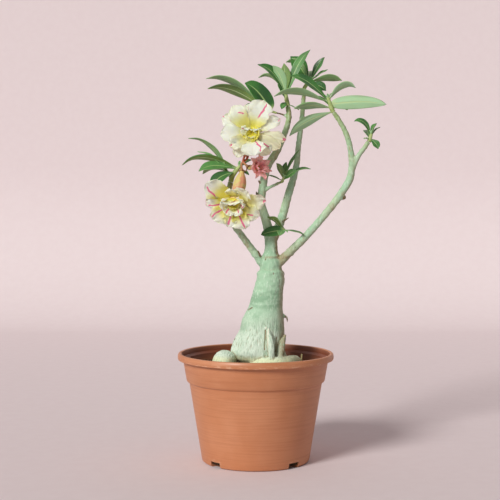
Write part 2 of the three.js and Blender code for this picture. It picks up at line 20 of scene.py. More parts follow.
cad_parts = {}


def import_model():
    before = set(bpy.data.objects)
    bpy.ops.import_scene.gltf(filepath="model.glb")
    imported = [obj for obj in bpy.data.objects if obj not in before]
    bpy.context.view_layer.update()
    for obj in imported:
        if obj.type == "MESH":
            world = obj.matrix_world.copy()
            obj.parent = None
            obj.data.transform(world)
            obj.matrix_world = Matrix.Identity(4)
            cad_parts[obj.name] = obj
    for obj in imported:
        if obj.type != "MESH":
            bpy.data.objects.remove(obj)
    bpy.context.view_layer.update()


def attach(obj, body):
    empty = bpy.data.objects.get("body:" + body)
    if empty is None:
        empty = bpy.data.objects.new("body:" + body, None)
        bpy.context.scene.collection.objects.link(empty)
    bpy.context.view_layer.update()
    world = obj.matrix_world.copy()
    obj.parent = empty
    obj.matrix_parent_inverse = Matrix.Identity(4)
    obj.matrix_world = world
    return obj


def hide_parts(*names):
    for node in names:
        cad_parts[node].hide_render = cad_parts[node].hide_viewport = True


LOG = logging.getLogger("desert_rose")
MM = 0.001
ROOT = "root"
UP = Vector((0.0, 0.0, 1.0))
GAP = 0.35  # clearance between two grown pieces, in millimetres
GOLDEN_TURN = 137.5  # from one leaf of a spiral to the next

Piece = bpy.types.Object
Material = bpy.types.Material
Colour = tuple[float, float, float, float]
Spot = tuple[float, float, float]
Stop = tuple[float, float, float, float]


class MaterialSlot(Enum):
    """The record's material slots."""

    POT = "pot_plastic"
    SOIL = "potting_mix"
    STRAW = "straw"
    BARK = "bark"
    LEAF = "leaf"
    STALK = "flower_stalk"
    CREAM = "cream_petal"
    PINK = "pink_petal"


def paint(code: str) -> Colour:
    """The linear colour of a six-digit display code, such as "c87f5a"."""
    shares = [int(code[i : i + 2], 16) / 255 for i in (0, 2, 4)]
    linear = [s / 12.92 if s <= 0.04045 else ((s + 0.055) / 1.055) ** 2.4 for s in shares]
    return (linear[0], linear[1], linear[2], 1.0)


# ------------------------------------------------------------------------------ node work


@dataclass(frozen=True)
class Wire:
    """A value that runs between nodes. Arithmetic on it lays down the nodes that do the sum."""

    sheet: "NodeSheet"
    socket: bpy.types.NodeSocket

    def __add__(self, other: object) -> "Wire":
        """The sum."""
        return self.sheet.sum("ADD", self, other)

    def __sub__(self, other: object) -> "Wire":
        """The difference."""
        return self.sheet.sum("SUBTRACT", self, other)

    def __rsub__(self, other: object) -> "Wire":
        """A number less this wire."""
        return self.sheet.sum("SUBTRACT", other, self)

    def __mul__(self, other: object) -> "Wire":
        """The product."""
        return self.sheet.sum("MULTIPLY", self, other)

    def __truediv__(self, other: object) -> "Wire":
        """The quotient."""
        return self.sheet.sum("DIVIDE", self, other)

    def __abs__(self) -> "Wire":
        """The size without its sign."""
        return self.sheet.sum("ABSOLUTE", self)

    def span(self, low: object, high: object, start: float = 0, end: float = 1) -> "Wire":
        """This value taken smoothly from one range to another, and held at its ends."""
        return self.sheet.made("ShaderNodeMapRange", "Result", {
            "Value": self, "From Min": low, "From Max": high, "To Min": start, "To Max": end,
        }, interpolation_type="SMOOTHSTEP")


class NodeSheet:
    """A material whose nodes are laid down one line at a time around one surface shader."""

    def __init__(self, name: str) -> None:
        """Starts an empty material with its shader and output."""
        self.material = bpy.data.materials.new(name)
        self.material.use_nodes = True
        self.tree = self.material.node_tree
        self.tree.nodes.clear()
        self.shader = self.tree.nodes.new("ShaderNodeBsdfPrincipled")
        output = self.tree.nodes.new("ShaderNodeOutputMaterial")
        self.tree.links.new(self.shader.outputs["BSDF"], output.inputs["Surface"])

    def feed(self, socket: bpy.types.NodeSocket, value: object) -> None:
        """Links a wire into a socket, or sets a colour code or a plain value on it."""
        if isinstance(value, Wire):
            self.tree.links.new(value.socket, socket)
        else:
            socket.default_value = paint(value) if isinstance(value, str) else value

    def made(self, kind: str, output: str | int, entries: dict[str | int, object], **settings: object) -> Wire:
        """A new node with its settings and inputs, as the wire from one of its outputs."""
        node = self.tree.nodes.new(kind)
        for key, value in settings.items():
            setattr(node, key, value)
        for key, value in entries.items():
            self.feed(node.inputs[key], value)
        return Wire(self, node.outputs[output])

    def place(self, stretch: Spot = (1, 1, 1)) -> Wire:
        """Object coordinates, stretched along each axis."""
        coordinates = self.made("ShaderNodeTexCoord", "Object", {})
        return self.made("ShaderNodeMapping", "Vector", {"Vector": coordinates, "Scale": stretch})

    def along_piece(self) -> tuple[Wire, Wire]:
        """The piece's own map: its place across, and its place along."""
        own_map = self.made("ShaderNodeUVMap", "UV", {}, uv_map="UVMap")
        return tuple(self.made("ShaderNodeSeparateXYZ", axis, {"Vector": own_map}) for axis in "XY")

    def trait(self, name: str) -> Wire:
        """A number stored on the mesh."""
        return self.made("ShaderNodeAttribute", "Fac", {}, attribute_name=name)

    def height(self) -> Wire:
        """Height above the pot's underside, in metres."""
        return self.made("ShaderNodeSeparateXYZ", "Z", {"Vector": self.place()})

    def speckle(self, scale: float, detail: float = 3, rough: float = 0.55, stretch: Spot = (1, 1, 1)) -> Wire:
        """A cloudy pattern between 0 and 1."""
        return self.made("ShaderNodeTexNoise", "Fac", {
            "Scale": scale, "Detail": detail, "Roughness": rough, "Vector": self.place(stretch)})

    def cells(self, scale: float) -> Wire:
        """Distance to the nearest of many scattered points."""
        return self.made("ShaderNodeTexVoronoi", "Distance", {"Scale": scale, "Vector": self.place()})

    def sum(self, operation: str, *values: object) -> Wire:
        """The result of one arithmetic step."""
        return self.made("ShaderNodeMath", "Value", dict(enumerate(values)), operation=operation)

    def layered(self, tint: str | Wire, *layers: tuple[Wire, str | Wire]) -> str | Wire:
        """A tint with others laid over it in turn, each by its share."""
        for share, over in layers:
            tint = self.made("ShaderNodeMix", 2, {"Factor": share, 6: tint, 7: over}, data_type="RGBA")
        return tint

    def finish(self, colour: Wire, reliefs: Sequence[tuple[Wire, float, float]], rough: float | Wire,
               gloss: float, **sockets: object) -> Material:
        """Sets the shader and gives the material.

        Args:
            colour: The surface colour.
            reliefs: Height, strength and depth in metres of each relief, the undermost first.
            rough: The roughness.
            gloss: The specular level.
            sockets: Other shader sockets by name, with underscores for spaces.

        Returns:
            The finished material.
        """
        shown = {"Base Color": colour, "Roughness": rough, "Specular IOR Level": gloss}
        under: dict[str, object] = {}
        for height, strength, depth in reliefs:
            entries = {"Strength": strength, "Distance": depth, "Height": height, **under}
            under = {"Normal": self.made("ShaderNodeBump", "Normal", entries)}
        shown |= under | {name.replace("_", " "): value for name, value in sockets.items()}
        for name, value in shown.items():
            self.feed(self.shader.inputs[name], value)
        return self.material


# ------------------------------------------------------------------------------ finishes


@dataclass(frozen=True)
class PotPlastic:
    """Moulded terracotta-coloured plastic, dusty and scuffed, with painted shade on the inside wall and a painted
    highlight along the edges of the drain notches.
    """

    body: str = "c07d54"
    pale: str = "c7865f"
    deep: str = "a8633d"
    # the inside wall's colour is painted shade
    inside: str = "74351b"
    scuff_and_highlight: str = "dcae8e"

    def material(self) -> Material:
        """The pot's material."""
        sheet = NodeSheet("pot plastic")
        clouds, rings = sheet.speckle(22, 4), sheet.speckle(520, 2, stretch=(0.03, 0.03, 1))
        dust = sheet.cells(260).span(0.08, 0.02, 0, 0.5) * sheet.speckle(40, 2).span(0.5, 0.7)
        scratch = sheet.speckle(160, stretch=(1, 1, 6)).span(0.52, 0.66)
        colour = sheet.layered(
            self.body,
            (clouds.span(0.35, 0.65), self.pale),
            (sheet.speckle(9, 2).span(0.5, 0.75, 0, 0.35), self.deep),
            (rings.span(0.4, 0.7, 0, 0.3), self.deep),
            (dust, self.scuff_and_highlight),
            # scuffs, with a painted highlight along the notch edges
            (sheet.trait("wear") * scratch, self.scuff_and_highlight),
            # painted shade: the inside wall is painted darker
            (sheet.trait("inner"), self.inside))
        reliefs = [(rings, 0.22, 0.0004), (sheet.speckle(900, 2), 0.12, 0.0003)]
        return sheet.finish(colour, reliefs, clouds.span(0.3, 0.7, 0.4, 0.54), 0.6)


@dataclass(frozen=True)
class PottingMix:
    """Dark crumbling peat with bits of bark and husk."""

    dark: str = "33271b"
    warm: str = "5d452c"
    husk: str = "93785a"
    moss: str = "5f7040"

    def material(self) -> Material:
        """The soil's material."""
        sheet = NodeSheet("potting mix")
        grains = sheet.speckle(420, 5, 0.7)
        colour = sheet.layered(
            self.dark,
            (grains.span(0.4, 0.65), self.warm),
            (sheet.trait("crumb").span(0.72, 0.98), self.husk),
            (sheet.speckle(30).span(0.56, 0.7) * grains.span(0.35, 0.6) * 0.6, self.moss))
        return sheet.finish(colour, [(grains, 0.9, 0.0012), (sheet.cells(500), 0.5, 0.0008)], 0.95, 0.15)


@dataclass(frozen=True)
class LivingBark:
    """Smooth grey-green bark that is pale on the caudex and greener and browner up the branches, with painted shade in
    creases, crevices and wrinkle hollows and on the sides away from the light, and white mottling that is partly a
    painted highlight on fine ridges.
    """

    pale: str = "dcebd8"
    mint: str = "a6caaa"
    green: str = "8db292"
    branch: str = "b0c8a4"
    young: str = "93a96a"
    tan: str = "a1906c"
    cork_and_shade: str = "6f5639"
    cream: str = "fbfae6"
    white_and_highlight: str = "e8f8e6"
    root: str = "e6edbf"

    def material(self) -> Material:
        """The caudex's material."""
        sheet = NodeSheet("living bark")
        height = sheet.height()
        low, buried = height.span(0.178, 0.152), height.span(0.126, 0.119)
        band = height.span(0.172, 0.182) * height.span(0.205, 0.19)
        broad = sheet.speckle(38, 4, 0.6)
        fine = sheet.speckle(520, 4, 0.65, (1, 1, 0.3))
        grain = sheet.speckle(640, 3, 0.6, (1, 1, 0.14))
        rings = sheet.speckle(210, 3, 0.6, (0.25, 0.25, 1))
        # Painted shade: creases found on the mesh are painted tan and cork below.
        crease = (sheet.trait("crease") + fine.span(0.3, 0.7, -0.2, 0.2)).span(0.25, 1.0)
        wood = sheet.layered(
            self.branch,
            (broad.span(0.38, 0.62), self.mint),
            (sheet.trait("young").span(0.3, 1.0, 0, 0.85), self.young),
            (sheet.speckle(120, 4, 0.7, (1, 1, 0.45)).span(0.52, 0.68, 0, 0.65), self.tan))
        colour = sheet.layered(
            self.pale,
            (height.span(0.125, 0.19), self.mint),
            (band * rings.span(0.36, 0.6), self.green),
            (broad.span(0.5, 0.7, 0, 0.55), self.green),
            (sheet.trait("limb"), wood),
            ((height + broad.span(0.3, 0.7, -0.006, 0.006)).span(0.162, 0.146, 0, 0.5), self.white_and_highlight),
            (buried * 0.95, self.root),
            # tan, with painted shade on the sides away from the light
            (sheet.trait("tan") * fine.span(0.3, 0.55, 0.45, 1), self.tan),
            # scars, with painted shade in the finger-root crevices and one painted shadow spot
            ((sheet.trait("scar") + fine.span(0.3, 0.7, -0.22, 0.22)).span(0.4, 0.72), self.cork_and_shade),
            (sheet.trait("cream").span(0.45, 0.75), self.cream),
            # white mottling on the raised fine relief, partly a painted highlight
            (fine.span(0.5, 0.72, 0, 0.5), self.white_and_highlight),
            (sheet.speckle(330, 4, 0.7, (1, 1, 0.2)).span(0.42, 0.3, 0, 0.5), self.green),
            # painted shade in the creases, first tan and then cork
            (crease * height.span(0.2, 0.185, 0.15, 0.6), self.tan),
            (sheet.trait("crease").span(0.85, 1.0, 0, 0.15), self.cork_and_shade),
            # painted shade in the hollows of the low wrinkles
            (low * grain.span(0.5, 0.36) * 0.42, self.green))
        reliefs = [(fine, 0.6, 0.001), (grain * (low * (1.0 - buried)), 0.9, 0.0018), (rings, 0.3, 0.0006)]
        return sheet.finish(colour, reliefs, broad.span(0.3, 0.7, 0.55, 0.72), 0.3)


@dataclass(frozen=True)
class LeafSkin:
    """One face of a leaf: a waxy deep green top, or a paler matt underside, with light veins."""

    name: str
    body: str
    pale: str
    deep: str
    rib: str
    rough: float
    gloss: float
    is_under: bool = False

    def material(self) -> Material:
        """The material of this face."""
        sheet = NodeSheet(self.name)
        across, along = sheet.along_piece()
        middle = abs(across - 0.5)
        tone = abs(sheet.trait("tone")) if self.is_under else sheet.trait("tone")
        lines = abs(sheet.sum("FRACT", (middle * -1.6 + along) * 13) - 0.5)
        veins = lines.span(0.09, 0.0) * middle.span(0.46, 0.1)
        rib = middle.span(along.span(0.0, 1.0, 0.085, 0.03), 0.012)
        colour = sheet.layered(
            self.body,
            (sheet.speckle(60).span(0.35, 0.65), self.deep),
            (tone, self.pale),
            (veins * 0.32, self.rib),
            (rib * along.span(1.0, 0.75), self.rib),
            (along.span(0.16, 0.02, 0, 0.8), self.rib),
            (middle.span(0.47, 0.5, 0, 0.45), self.rib))
        reliefs = [(1.0 - rib, 0.5, 0.0005), (1.0 - veins, 0.3, 0.0003), (sheet.speckle(700), 0.14, 0.0003)]
        return sheet.finish(colour, reliefs, self.rough, self.gloss, Subsurface_Weight=0.06, Subsurface_Scale=0.001)


LEAF_FACES = (
    LeafSkin("leaf top", "3d7a33", "8fc57c", "1f5029", "a8c882", 0.32, 0.42),
    LeafSkin("leaf underside", "7b984c", "a9d0a2", "62803f", "bdd49a", 0.5, 0.35, True),
)


@dataclass(frozen=True)
class ShootSkin:
    """The soft green skin of a shoot tip."""

    body: str = "8ea45c"
    pale: str = "b3c282"
    scar: str = "6f6a3c"

    def material(self) -> Material:
        """The shoot tip's material."""
        sheet = NodeSheet("shoot skin")
        colour = sheet.layered(self.body, (sheet.speckle(130).span(0.35, 0.65), self.pale),
                               (sheet.cells(330).span(0.2, 0.08, 0, 0.7), self.scar))
        return sheet.finish(colour, [(sheet.speckle(500), 0.3, 0.0004)], 0.5, 0.35)


@dataclass(frozen=True)
class PetalSilk:
    """One face of a petal: a golden foot that fades to the body colour, one painted streak, and painted shade in its
    shade tint on petals marked as shaded.
    """

    name: str
    body: str
    warm: str
    yellow: str
    gold: str
    streak: str
    shade: str
    reach: float

    def material(self) -> Material:
        """The material of this face."""
        sheet = NodeSheet(self.name)
        across, along = sheet.along_piece()
        fine = sheet.speckle(300)
        foot = along + fine * 0.1 - sheet.trait("gold")
        lines = sheet.sum("SINE", across * 95)
        begin, end, left, right, half = (sheet.trait(f"streak_{k}") for k in ("begin", "end", "foot", "tip", "half"))
        run = (along - begin) / (end - begin)
        held = sheet.sum("MINIMUM", sheet.sum("MAXIMUM", run, 0.0), 1.0)
        off = abs(across - (left + (right - left) * held))
        body = (off / (half * fine.span(0.3, 0.7, 0.8, 1.25))).span(1.15, 0.3)
        rim = sheet.sum("MAXIMUM", abs(across - 0.5).span(0.44, 0.5), along.span(0.9, 1.0))
        colour = sheet.layered(
            self.body,
            (sheet.speckle(90, 2).span(0.4, 0.7), self.warm),
            (foot.span(self.reach, 0.08), self.yellow),
            (foot.span(0.2, -0.06), self.gold),
            # painted shade: petals marked as shaded take the shade tint
            (sheet.trait("faded") * 0.85, self.shade),
            (lines.span(0.2, 1.0, 0, 0.1), self.shade),
            (body * (run.span(-0.05, 0.12) * run.span(1.05, 0.9)), self.streak),
            (rim * sheet.trait("blush") * sheet.speckle(110, 2).span(0.45, 0.6), self.streak))
        return sheet.finish(colour, [(lines, 0.2, 0.0002), (fine, 0.2, 0.0004)], 0.6, 0.22, Subsurface_Weight=0.65,
                            Subsurface_Scale=0.004, Subsurface_Radius=(1, 0.95, 0.7), Sheen_Weight=0.05)


CREAM_FACES = (
    PetalSilk("cream petal face", "f1ffe2", "edfad0", "f3ef74", "f0e24a", "e4578a", "eeecb4", 0.5),
    PetalSilk("cream petal back", "f3f5d4", "ecebbd", "eee68c", "e6d66a", "e0788f", "ddd8a2", 0.4),
)
PINK_FACES = (
    PetalSilk("pink petal face", "ffaeac", "ff989c", "f6c79a", "f3c77f", "e0506e", "ea7c88", 0.3),
    PetalSilk("pink petal back", "ffb2ac", "ff9c9c", "f3d3a8", "efcf95", "e2667a", "e58b88", 0.35),
)


@dataclass(frozen=True)
class TubeSkin:
    """The flower tube: peach to yellow outside, and golden with guide lines inside."""

    peach: str = "d9997a"
    yellow: str = "d3c67c"
    gold: str = "fcec66"
    guide: str = "e6bb4c"

    def material(self) -> Material:
        """The tube's material."""
        sheet = NodeSheet("flower tube")
        lines = sheet.sum("SINE", sheet.along_piece()[0] * 62.8)
        colour = sheet.layered(
            self.peach,
            (sheet.speckle(110).span(0.38, 0.56), self.yellow),
            (lines.span(0.5, 1.0, 0, 0.2), self.peach),
            (sheet.trait("inner"), sheet.layered(self.gold, (lines.span(0.86, 1.0, 0, 0.6), self.guide))))
        return sheet.finish(colour, [(lines, 0.25, 0.0004)], 0.5, 0.3, Subsurface_Weight=0.15,
                            Subsurface_Scale=0.0015)


@dataclass(frozen=True)
class StalkSkin:
    """Soft red-brown flower stalks that turn green towards their foot."""

    red: str = "b45a44"
    salmon: str = "d08868"
    green: str = "8a9358"

    def material(self) -> Material:
        """The stalks' material."""
        sheet = NodeSheet("stalk skin")
        colour = sheet.layered(self.red, (sheet.speckle(160).span(0.35, 0.65), self.salmon),
                               (sheet.height().span(0.343, 0.340, 0, 0.4), self.green))
        return sheet.finish(colour, [(sheet.speckle(900, 2), 0.3, 0.0003)], 0.55, 0.3)


@dataclass(frozen=True)
class DryStraw:
    """Dry pale straw with grain along it."""

    pale: str = "dcd3a4"
    dark: str = "b8a873"

    def material(self) -> Material:
        """The straw's material."""
        sheet = NodeSheet("dry straw")
        grain = sheet.speckle(1400, stretch=(1, 1, 0.12))
        colour = sheet.layered(self.pale, (grain.span(0.35, 0.65), self.dark))
        return sheet.finish(colour, [(grain, 0.4, 0.0003)], 0.7, 0.3)


@dataclass(frozen=True)
class StudioPaper:
    """Plain pale paper for the floor and the wall."""

    tint: str = "ded1d3"
    fibre: str = "ffffff"

    def material(self) -> Material:
        """The paper's material."""
        sheet = NodeSheet("studio paper")
        colour = sheet.layered(self.tint, (sheet.speckle(60, 2).span(0.3, 0.7, 0, 0.04), self.fibre))
        return sheet.finish(colour, [], 0.9, 0.1)


# ------------------------------------------------------------------------------ the workbench


def clear_selection() -> None:
    """Leaves edit mode and selects nothing."""
    if bpy.context.object is not None and bpy.context.object.mode != "OBJECT":
        bpy.ops.object.mode_set(mode="OBJECT")
    bpy.ops.object.select_all(action="DESELECT")


def pick(*pieces: Piece) -> None:
    """Selects only these pieces, the first one active."""
    clear_selection()
    for piece in pieces:
        piece.select_set(True)
    bpy.context.view_layer.objects.active = pieces[0]


def shaped(piece: Piece, kind: str, **settings: object) -> Piece:
    """Adds a modifier with its settings and applies it."""
    pick(piece)
    modifier = piece.modifiers.new(kind.lower(), kind)
    for key, value in settings.items():
        setattr(modifier, key, value)
    bpy.ops.object.modifier_apply(modifier=modifier.name)
    return piece


def joined(name: str, pieces: Sequence[Piece]) -> Piece:
    """The pieces as one mesh under one name."""
    pick(*pieces)
    if len(pieces) > 1:
        bpy.ops.object.join()
    whole = bpy.context.object
    whole.name = name
    whole.data.name = name
    return whole


def dressed(piece: Piece, *materials: Material) -> Piece:
    """Gives a piece these materials and no others."""
    piece.data.materials.clear()
    for material in materials:
        piece.data.materials.append(material)
    return piece


def smooth(piece: Piece, angle: float | None = None) -> Piece:
    """Shades a piece smooth, or smooth except over corners sharper than an angle."""
    pick(piece)
    if angle is None:
        bpy.ops.object.shade_smooth()
    else:
        bpy.ops.object.shade_smooth_by_angle(angle=radians(angle))
    return piece


def rows_of(entries: Sequence[object], name: str) -> np.ndarray:
    """A property of three numbers from every entry, as rows."""
    flat = np.zeros(len(entries) * 3)
    entries.foreach_get(name, flat)
    return flat.reshape(-1, 3)


def points_of(piece: Piece) -> np.ndarray:
    """A piece's points as rows of x, y and z."""
    return rows_of(piece.data.vertices, "co")


def normals_of(piece: Piece) -> np.ndarray:
    """A piece's point normals as rows of x, y and z."""
    return rows_of(piece.data.vertex_normals, "vector")


def set_points(piece: Piece, points: np.ndarray) -> None:
    """Moves a piece's points."""
    piece.data.vertices.foreach_set("co", points.reshape(-1))
    piece.data.update()


def mark(piece: Piece, **traits: Sequence[float] | float) -> None:
    """Stores named numbers on each point of a piece, or the same number on them all."""
    for name, values in traits.items():
        count = len(piece.data.vertices)
        stored = piece.data.attributes.get(name) or piece.data.attributes.new(name, "FLOAT", "POINT")
        row = np.full(count, values) if isinstance(values, (int, float)) else np.asarray(values)
        stored.data.foreach_set("value", row.astype(np.float32))


def cloud(point: Sequence[float], scale: float, seed: float = 0.0) -> float:
    """A smooth random number between about -1 and 1 at a point in metres."""
    return noise.noise(Vector((point[0] * scale + seed, point[1] * scale - seed, point[2] * scale + 2 * seed)))


class Route:
    """A smooth line through measured stops, with a radius at each."""

    def __init__(self, stops: Sequence[Sequence[float]]) -> None:
        """Takes stops of x, y, z and radius in millimetres."""
        self.stops = [Vector((*stop[:3], stop[3] if len(stop) > 3 else 0.0)) * MM for stop in stops]

    def at(self, share: float) -> tuple[Vector, Vector, float]:
        """The centre, direction and radius at a share of the stops.

        Args:
            share: 0 at the first stop, 1 at the last.

        Returns:
            The centre, the unit direction and the radius there, in metres.
        """
        last = len(self.stops) - 1
        place = min(max(share, 0.0), 1.0) * last
        i = min(int(place), last - 1)
        t = place - i
        near, far = self.stops[i], self.stops[i + 1]
        before = self.stops[i - 1] if i > 0 else near * 2 - far
        after = self.stops[i + 2] if i + 2 <= last else far * 2 - near
        first, middle, final = (
            max((b.xyz - a.xyz).length, 1e-9) ** 0.5 for a, b in ((before, near), (near, far), (far, after))
        )
        leave = ((near - before) / first - (far - before) / (first + middle) + (far - near) / middle) * middle
        arrive = ((far - near) / middle - (after - near) / (middle + final) + (after - far) / final) * middle
        spot = (
            near * (2 * t**3 - 3 * t**2 + 1) + leave * (t**3 - 2 * t**2 + t)
            + far * (3 * t**2 - 2 * t**3) + arrive * (t**3 - t**2)
        )
        run = (
            near * (6 * t**2 - 6 * t) + leave * (3 * t**2 - 4 * t + 1)
            + far * (6 * t - 6 * t**2) + arrive * (3 * t**2 - 2 * t)
        )
        return spot.xyz, run.xyz.normalized(), spot.w

    def length(self) -> float:
        """Length of the line through the stops, in metres."""
        return sum((b.xyz - a.xyz).length for a, b in zip(self.stops, self.stops[1:]))


class RingTower:
    """A closed form raised from a filled circle, ring by ring, in edit mode."""

    def __init__(self, name: str, centre: Vector, radius: float, sides: int, facing: Vector = UP) -> None:
        """Lays the first ring and opens it for editing."""
        clear_selection()
        bpy.ops.mesh.primitive_circle_add(vertices=sides, radius=radius, fill_type="NGON", location=centre,
                                          rotation=facing.to_track_quat("Z", "Y").to_euler())
        self.piece = bpy.context.object
        self.piece.name = name
        bpy.ops.object.transform_apply(location=True, rotation=True, scale=True)
        bpy.ops.object.mode_set(mode="EDIT")
        bpy.ops.mesh.select_all(action="SELECT")
        self.centre, self.radius, self.facing = centre.copy(), radius, facing.copy()

    def raise_to(self, centre: Vector, radius: float, facing: Vector | None = None) -> None:
        """Extrudes the open end to the next ring, then sizes and turns it."""
        bpy.ops.mesh.extrude_region_move(TRANSFORM_OT_translate={"value": centre - self.centre})
        share = radius / self.radius
        if abs(share - 1) > 1e-6:
            bpy.ops.transform.resize(value=(share, share, share), center_override=centre)
        if facing is not None and self.facing.angle(facing) > 1e-4:
            turn = self.facing.rotation_difference(facing).to_matrix()
            mesh = bmesh.from_edit_mesh(self.piece.data)
            bmesh.ops.rotate(mesh, cent=centre, matrix=turn, verts=[v for v in mesh.verts if v.select])
            bmesh.update_edit_mesh(self.piece.data)
            self.facing = facing.copy()
        self.centre, self.radius = centre.copy(), radius

    def follow(self, route: Route, rings: int) -> tuple[Vector, Vector, float]:
        """Raises even rings along a route, and gives the centre, direction and radius of its end."""
        for k in range(1, rings + 1):
            spot, run, radius = route.at(k / rings)
            self.raise_to(spot, radius, run)
        return spot, run, radius

    def done(self) -> Piece:
        """Closes the form and gives it with its faces outwards."""
        bpy.ops.mesh.select_all(action="SELECT")
        bpy.ops.mesh.normals_make_consistent(inside=False)
        bpy.ops.object.mode_set(mode="OBJECT")
        return self.piece


DOME_TILTS = (20, 38, 54, 68, 80)  # the rings that round a limb's end off


def limb(name: str, route: Route, sides: int, rings: int, domed: bool = True) -> Piece:
    """A round limb along a route.

    Args:
        name: The piece's name.
        route: The line and radii to follow.
        sides: Points round each ring.
        rings: Rings along the limb.
        domed: Rounds the far end off.

    Returns:
        The closed limb.
    """
    start, run, radius = route.at(0)
    tower = RingTower(name, start, radius, sides, run)
    spot, run, radius = tower.follow(route, rings)
    if domed:
        for tilt in map(radians, DOME_TILTS):
            tower.raise_to(spot + run * radius * sin(tilt), radius * cos(tilt))
    return tower.done()


def flat_sheet(name: str, columns: int, rows: int) -> Piece:
    """A flat grid, one unit across and one along, to be copied and bent into blades."""
    clear_selection()
    bpy.ops.mesh.primitive_grid_add(x_subdivisions=columns, y_subdivisions=rows, size=1.0, calc_uvs=True)
    sheet = bpy.context.object
    sheet.name = name
    return sheet


def copied(piece: Piece, name: str) -> Piece:
    """A copy of a piece with its own mesh."""
    pick(piece)
    bpy.ops.object.duplicate(linked=False)
    twin = bpy.context.object
    twin.name = name
    return twin


def discard(*pieces: Piece) -> None:
    """Deletes pieces that were only patterns for others."""
    pick(*pieces)
    bpy.ops.object.delete()


def heading(azimuth: float, rise: float) -> Vector:
    """The direction of an azimuth and a rise."""
    flat = cos(radians(rise))
    turn = radians(azimuth)
    return Vector((flat * cos(turn), flat * sin(turn), sin(radians(rise))))


# ------------------------------------------------------------------------------ blades


def leaf_outline(s: float) -> float:
    """Half width along a spoon-shaped leaf, as a share of its widest."""
    return max(0.11, sin(pi * s**1.45) ** 0.85)


def broad_outline(s: float) -> float:
    """Half width along a leaf that is nearly full width from foot to tip, as a share of its widest."""
    return max(0.12, sin(pi * min(s, 1.0) ** 0.8) ** 0.5)


def petal_outline(s: float) -> float:
    """Half width along a broad petal, as a share of its widest."""
    if s < 0.66:
        return 0.24 + 0.76 * sin(pi / 2 * s / 0.66)
    return (1 - 0.88 * ((s - 0.66) / 0.34) ** 2.5) ** 0.5


def pointed_outline(s: float) -> float:
    """Half width along a narrow, pointed petal, as a share of its widest."""
    return max(0.1, sin(pi * s**0.8) ** 0.9 + 0.3 * (1 - s))


@dataclass
class Blade:
    """A leaf or petal that leaves its base along one direction and bends away from another.

    Lengths are in millimetres. Roll turns the upper face about the blade's length, to the front
    where it can, and twist adds to the roll towards the tip. Fold raises the edges, ruffle waves
    them, and curl rolls the higher edge back over the underside.
    """

    base: Vector
    out: Vector
    up: Vector
    length: float
    width: float
    bend: float
    outline: Callable[[float], float]
    rows: int = 6
    roll: float = 0.0
    twist: float = 0.0
    fold: float = 0.22
    ruffle: float = 0.0
    waves: float = 3.0
    phase: float = 0.0
    uneven: float = 0.0
    rounding: float = 0.03
    curl: float = 0.0

    def spine(self) -> tuple[Route, Vector]:
        """The blade's midrib, and the level direction across its foot."""
        level = self.out.cross(self.up).normalized()
        spot = self.base / MM
        stops: list[Vector] = [spot.copy()]
        for i in range(self.rows):
            angle = -radians(self.bend) * (i / self.rows) ** 2
            along = Matrix.Rotation(angle, 3, level) @ self.out
            spot = spot + along * (self.length / self.rows)
            stops.append(spot.copy())
        return Route([tuple(stop) for stop in stops]), level

    def lay(self, pattern: Piece, name: str) -> Piece:
        """Copies the flat pattern and shapes the copy into this blade.

        Args:
            pattern: The flat sheet to copy.
            name: The copy's name.

        Returns:
            The curved blade, still without thickness.
        """
        piece = copied(pattern, name)
        route, level = self.spine()
        front = 1.0 if level.y < 0 else -1.0
        rows: dict[int, tuple[Vector, Vector, Vector, float, Vector]] = {}
        for vertex in piece.data.vertices:
            u, s = 2 * vertex.co.x, vertex.co.y + 0.5
            key = round(s * 1000)
            if key not in rows:
                spot, along, _ = route.at(s)
                over = level.cross(along).normalized()
                turn = radians(self.roll + self.twist * s * s)
                plain, turned = cos(turn), sin(turn) * front
                rows[key] = (spot, over * plain + level * turned, level * plain - over * turned,
                             self.width / 2 * MM * self.outline(s), along)
            spot, face, side, half, along = rows[key]
            wave = sin(self.phase + 2 * pi * self.waves * s + (0.9 if u > 0 else 0.0))
            crimp = sin(2.1 * self.phase + 2 * pi * 1.3 * u) * s**5
            lift = abs(u) ** 1.4 * half * self.fold
            lift += self.ruffle * MM * (wave * abs(u) ** 2.2 * min(1.0, s * 1.8) + 0.8 * crimp)
            margin = 1 + self.uneven * noise.noise(Vector((self.phase, 3 * u, 7 * s)))
            back = self.rounding * self.length * MM * u * u * s**4
            reach = u * half * margin
            if self.curl and u * side.z > 0:
                reach, lift = self.curled(abs(u), s, half, lift)
                reach = copysign(reach, u)
            vertex.co = spot + side * reach + face * lift - along * back
        return piece

    def curled(self, u: float, s: float, half: float, lift: float, start: float = 0.55) -> tuple[float, float]:
        """Where a point beside the rolled edge lies: its distance out, and its height over the face."""
        turn = radians(self.curl) * min(1.0, 0.25 + 1.1 * s)
        if u <= start or turn < 0.05:
            return u * half, lift
        radius = half * (1 - start) / turn
        angle = turn * (u - start) / (1 - start)
        return start * half + radius * sin(angle), lift - radius * (1 - cos(angle))


def thickened(piece: Piece, thickness: float, faces: int = 2) -> Piece:
    """Gives joined blades their thickness, with the second of two materials underneath."""
    shaped(piece, "SOLIDIFY", thickness=thickness * MM, offset=0.0, material_offset=faces - 1)
    shaped(piece, "SUBSURF", levels=1, render_levels=1)
    return smooth(piece)


# ------------------------------------------------------------------------------ pot and soil


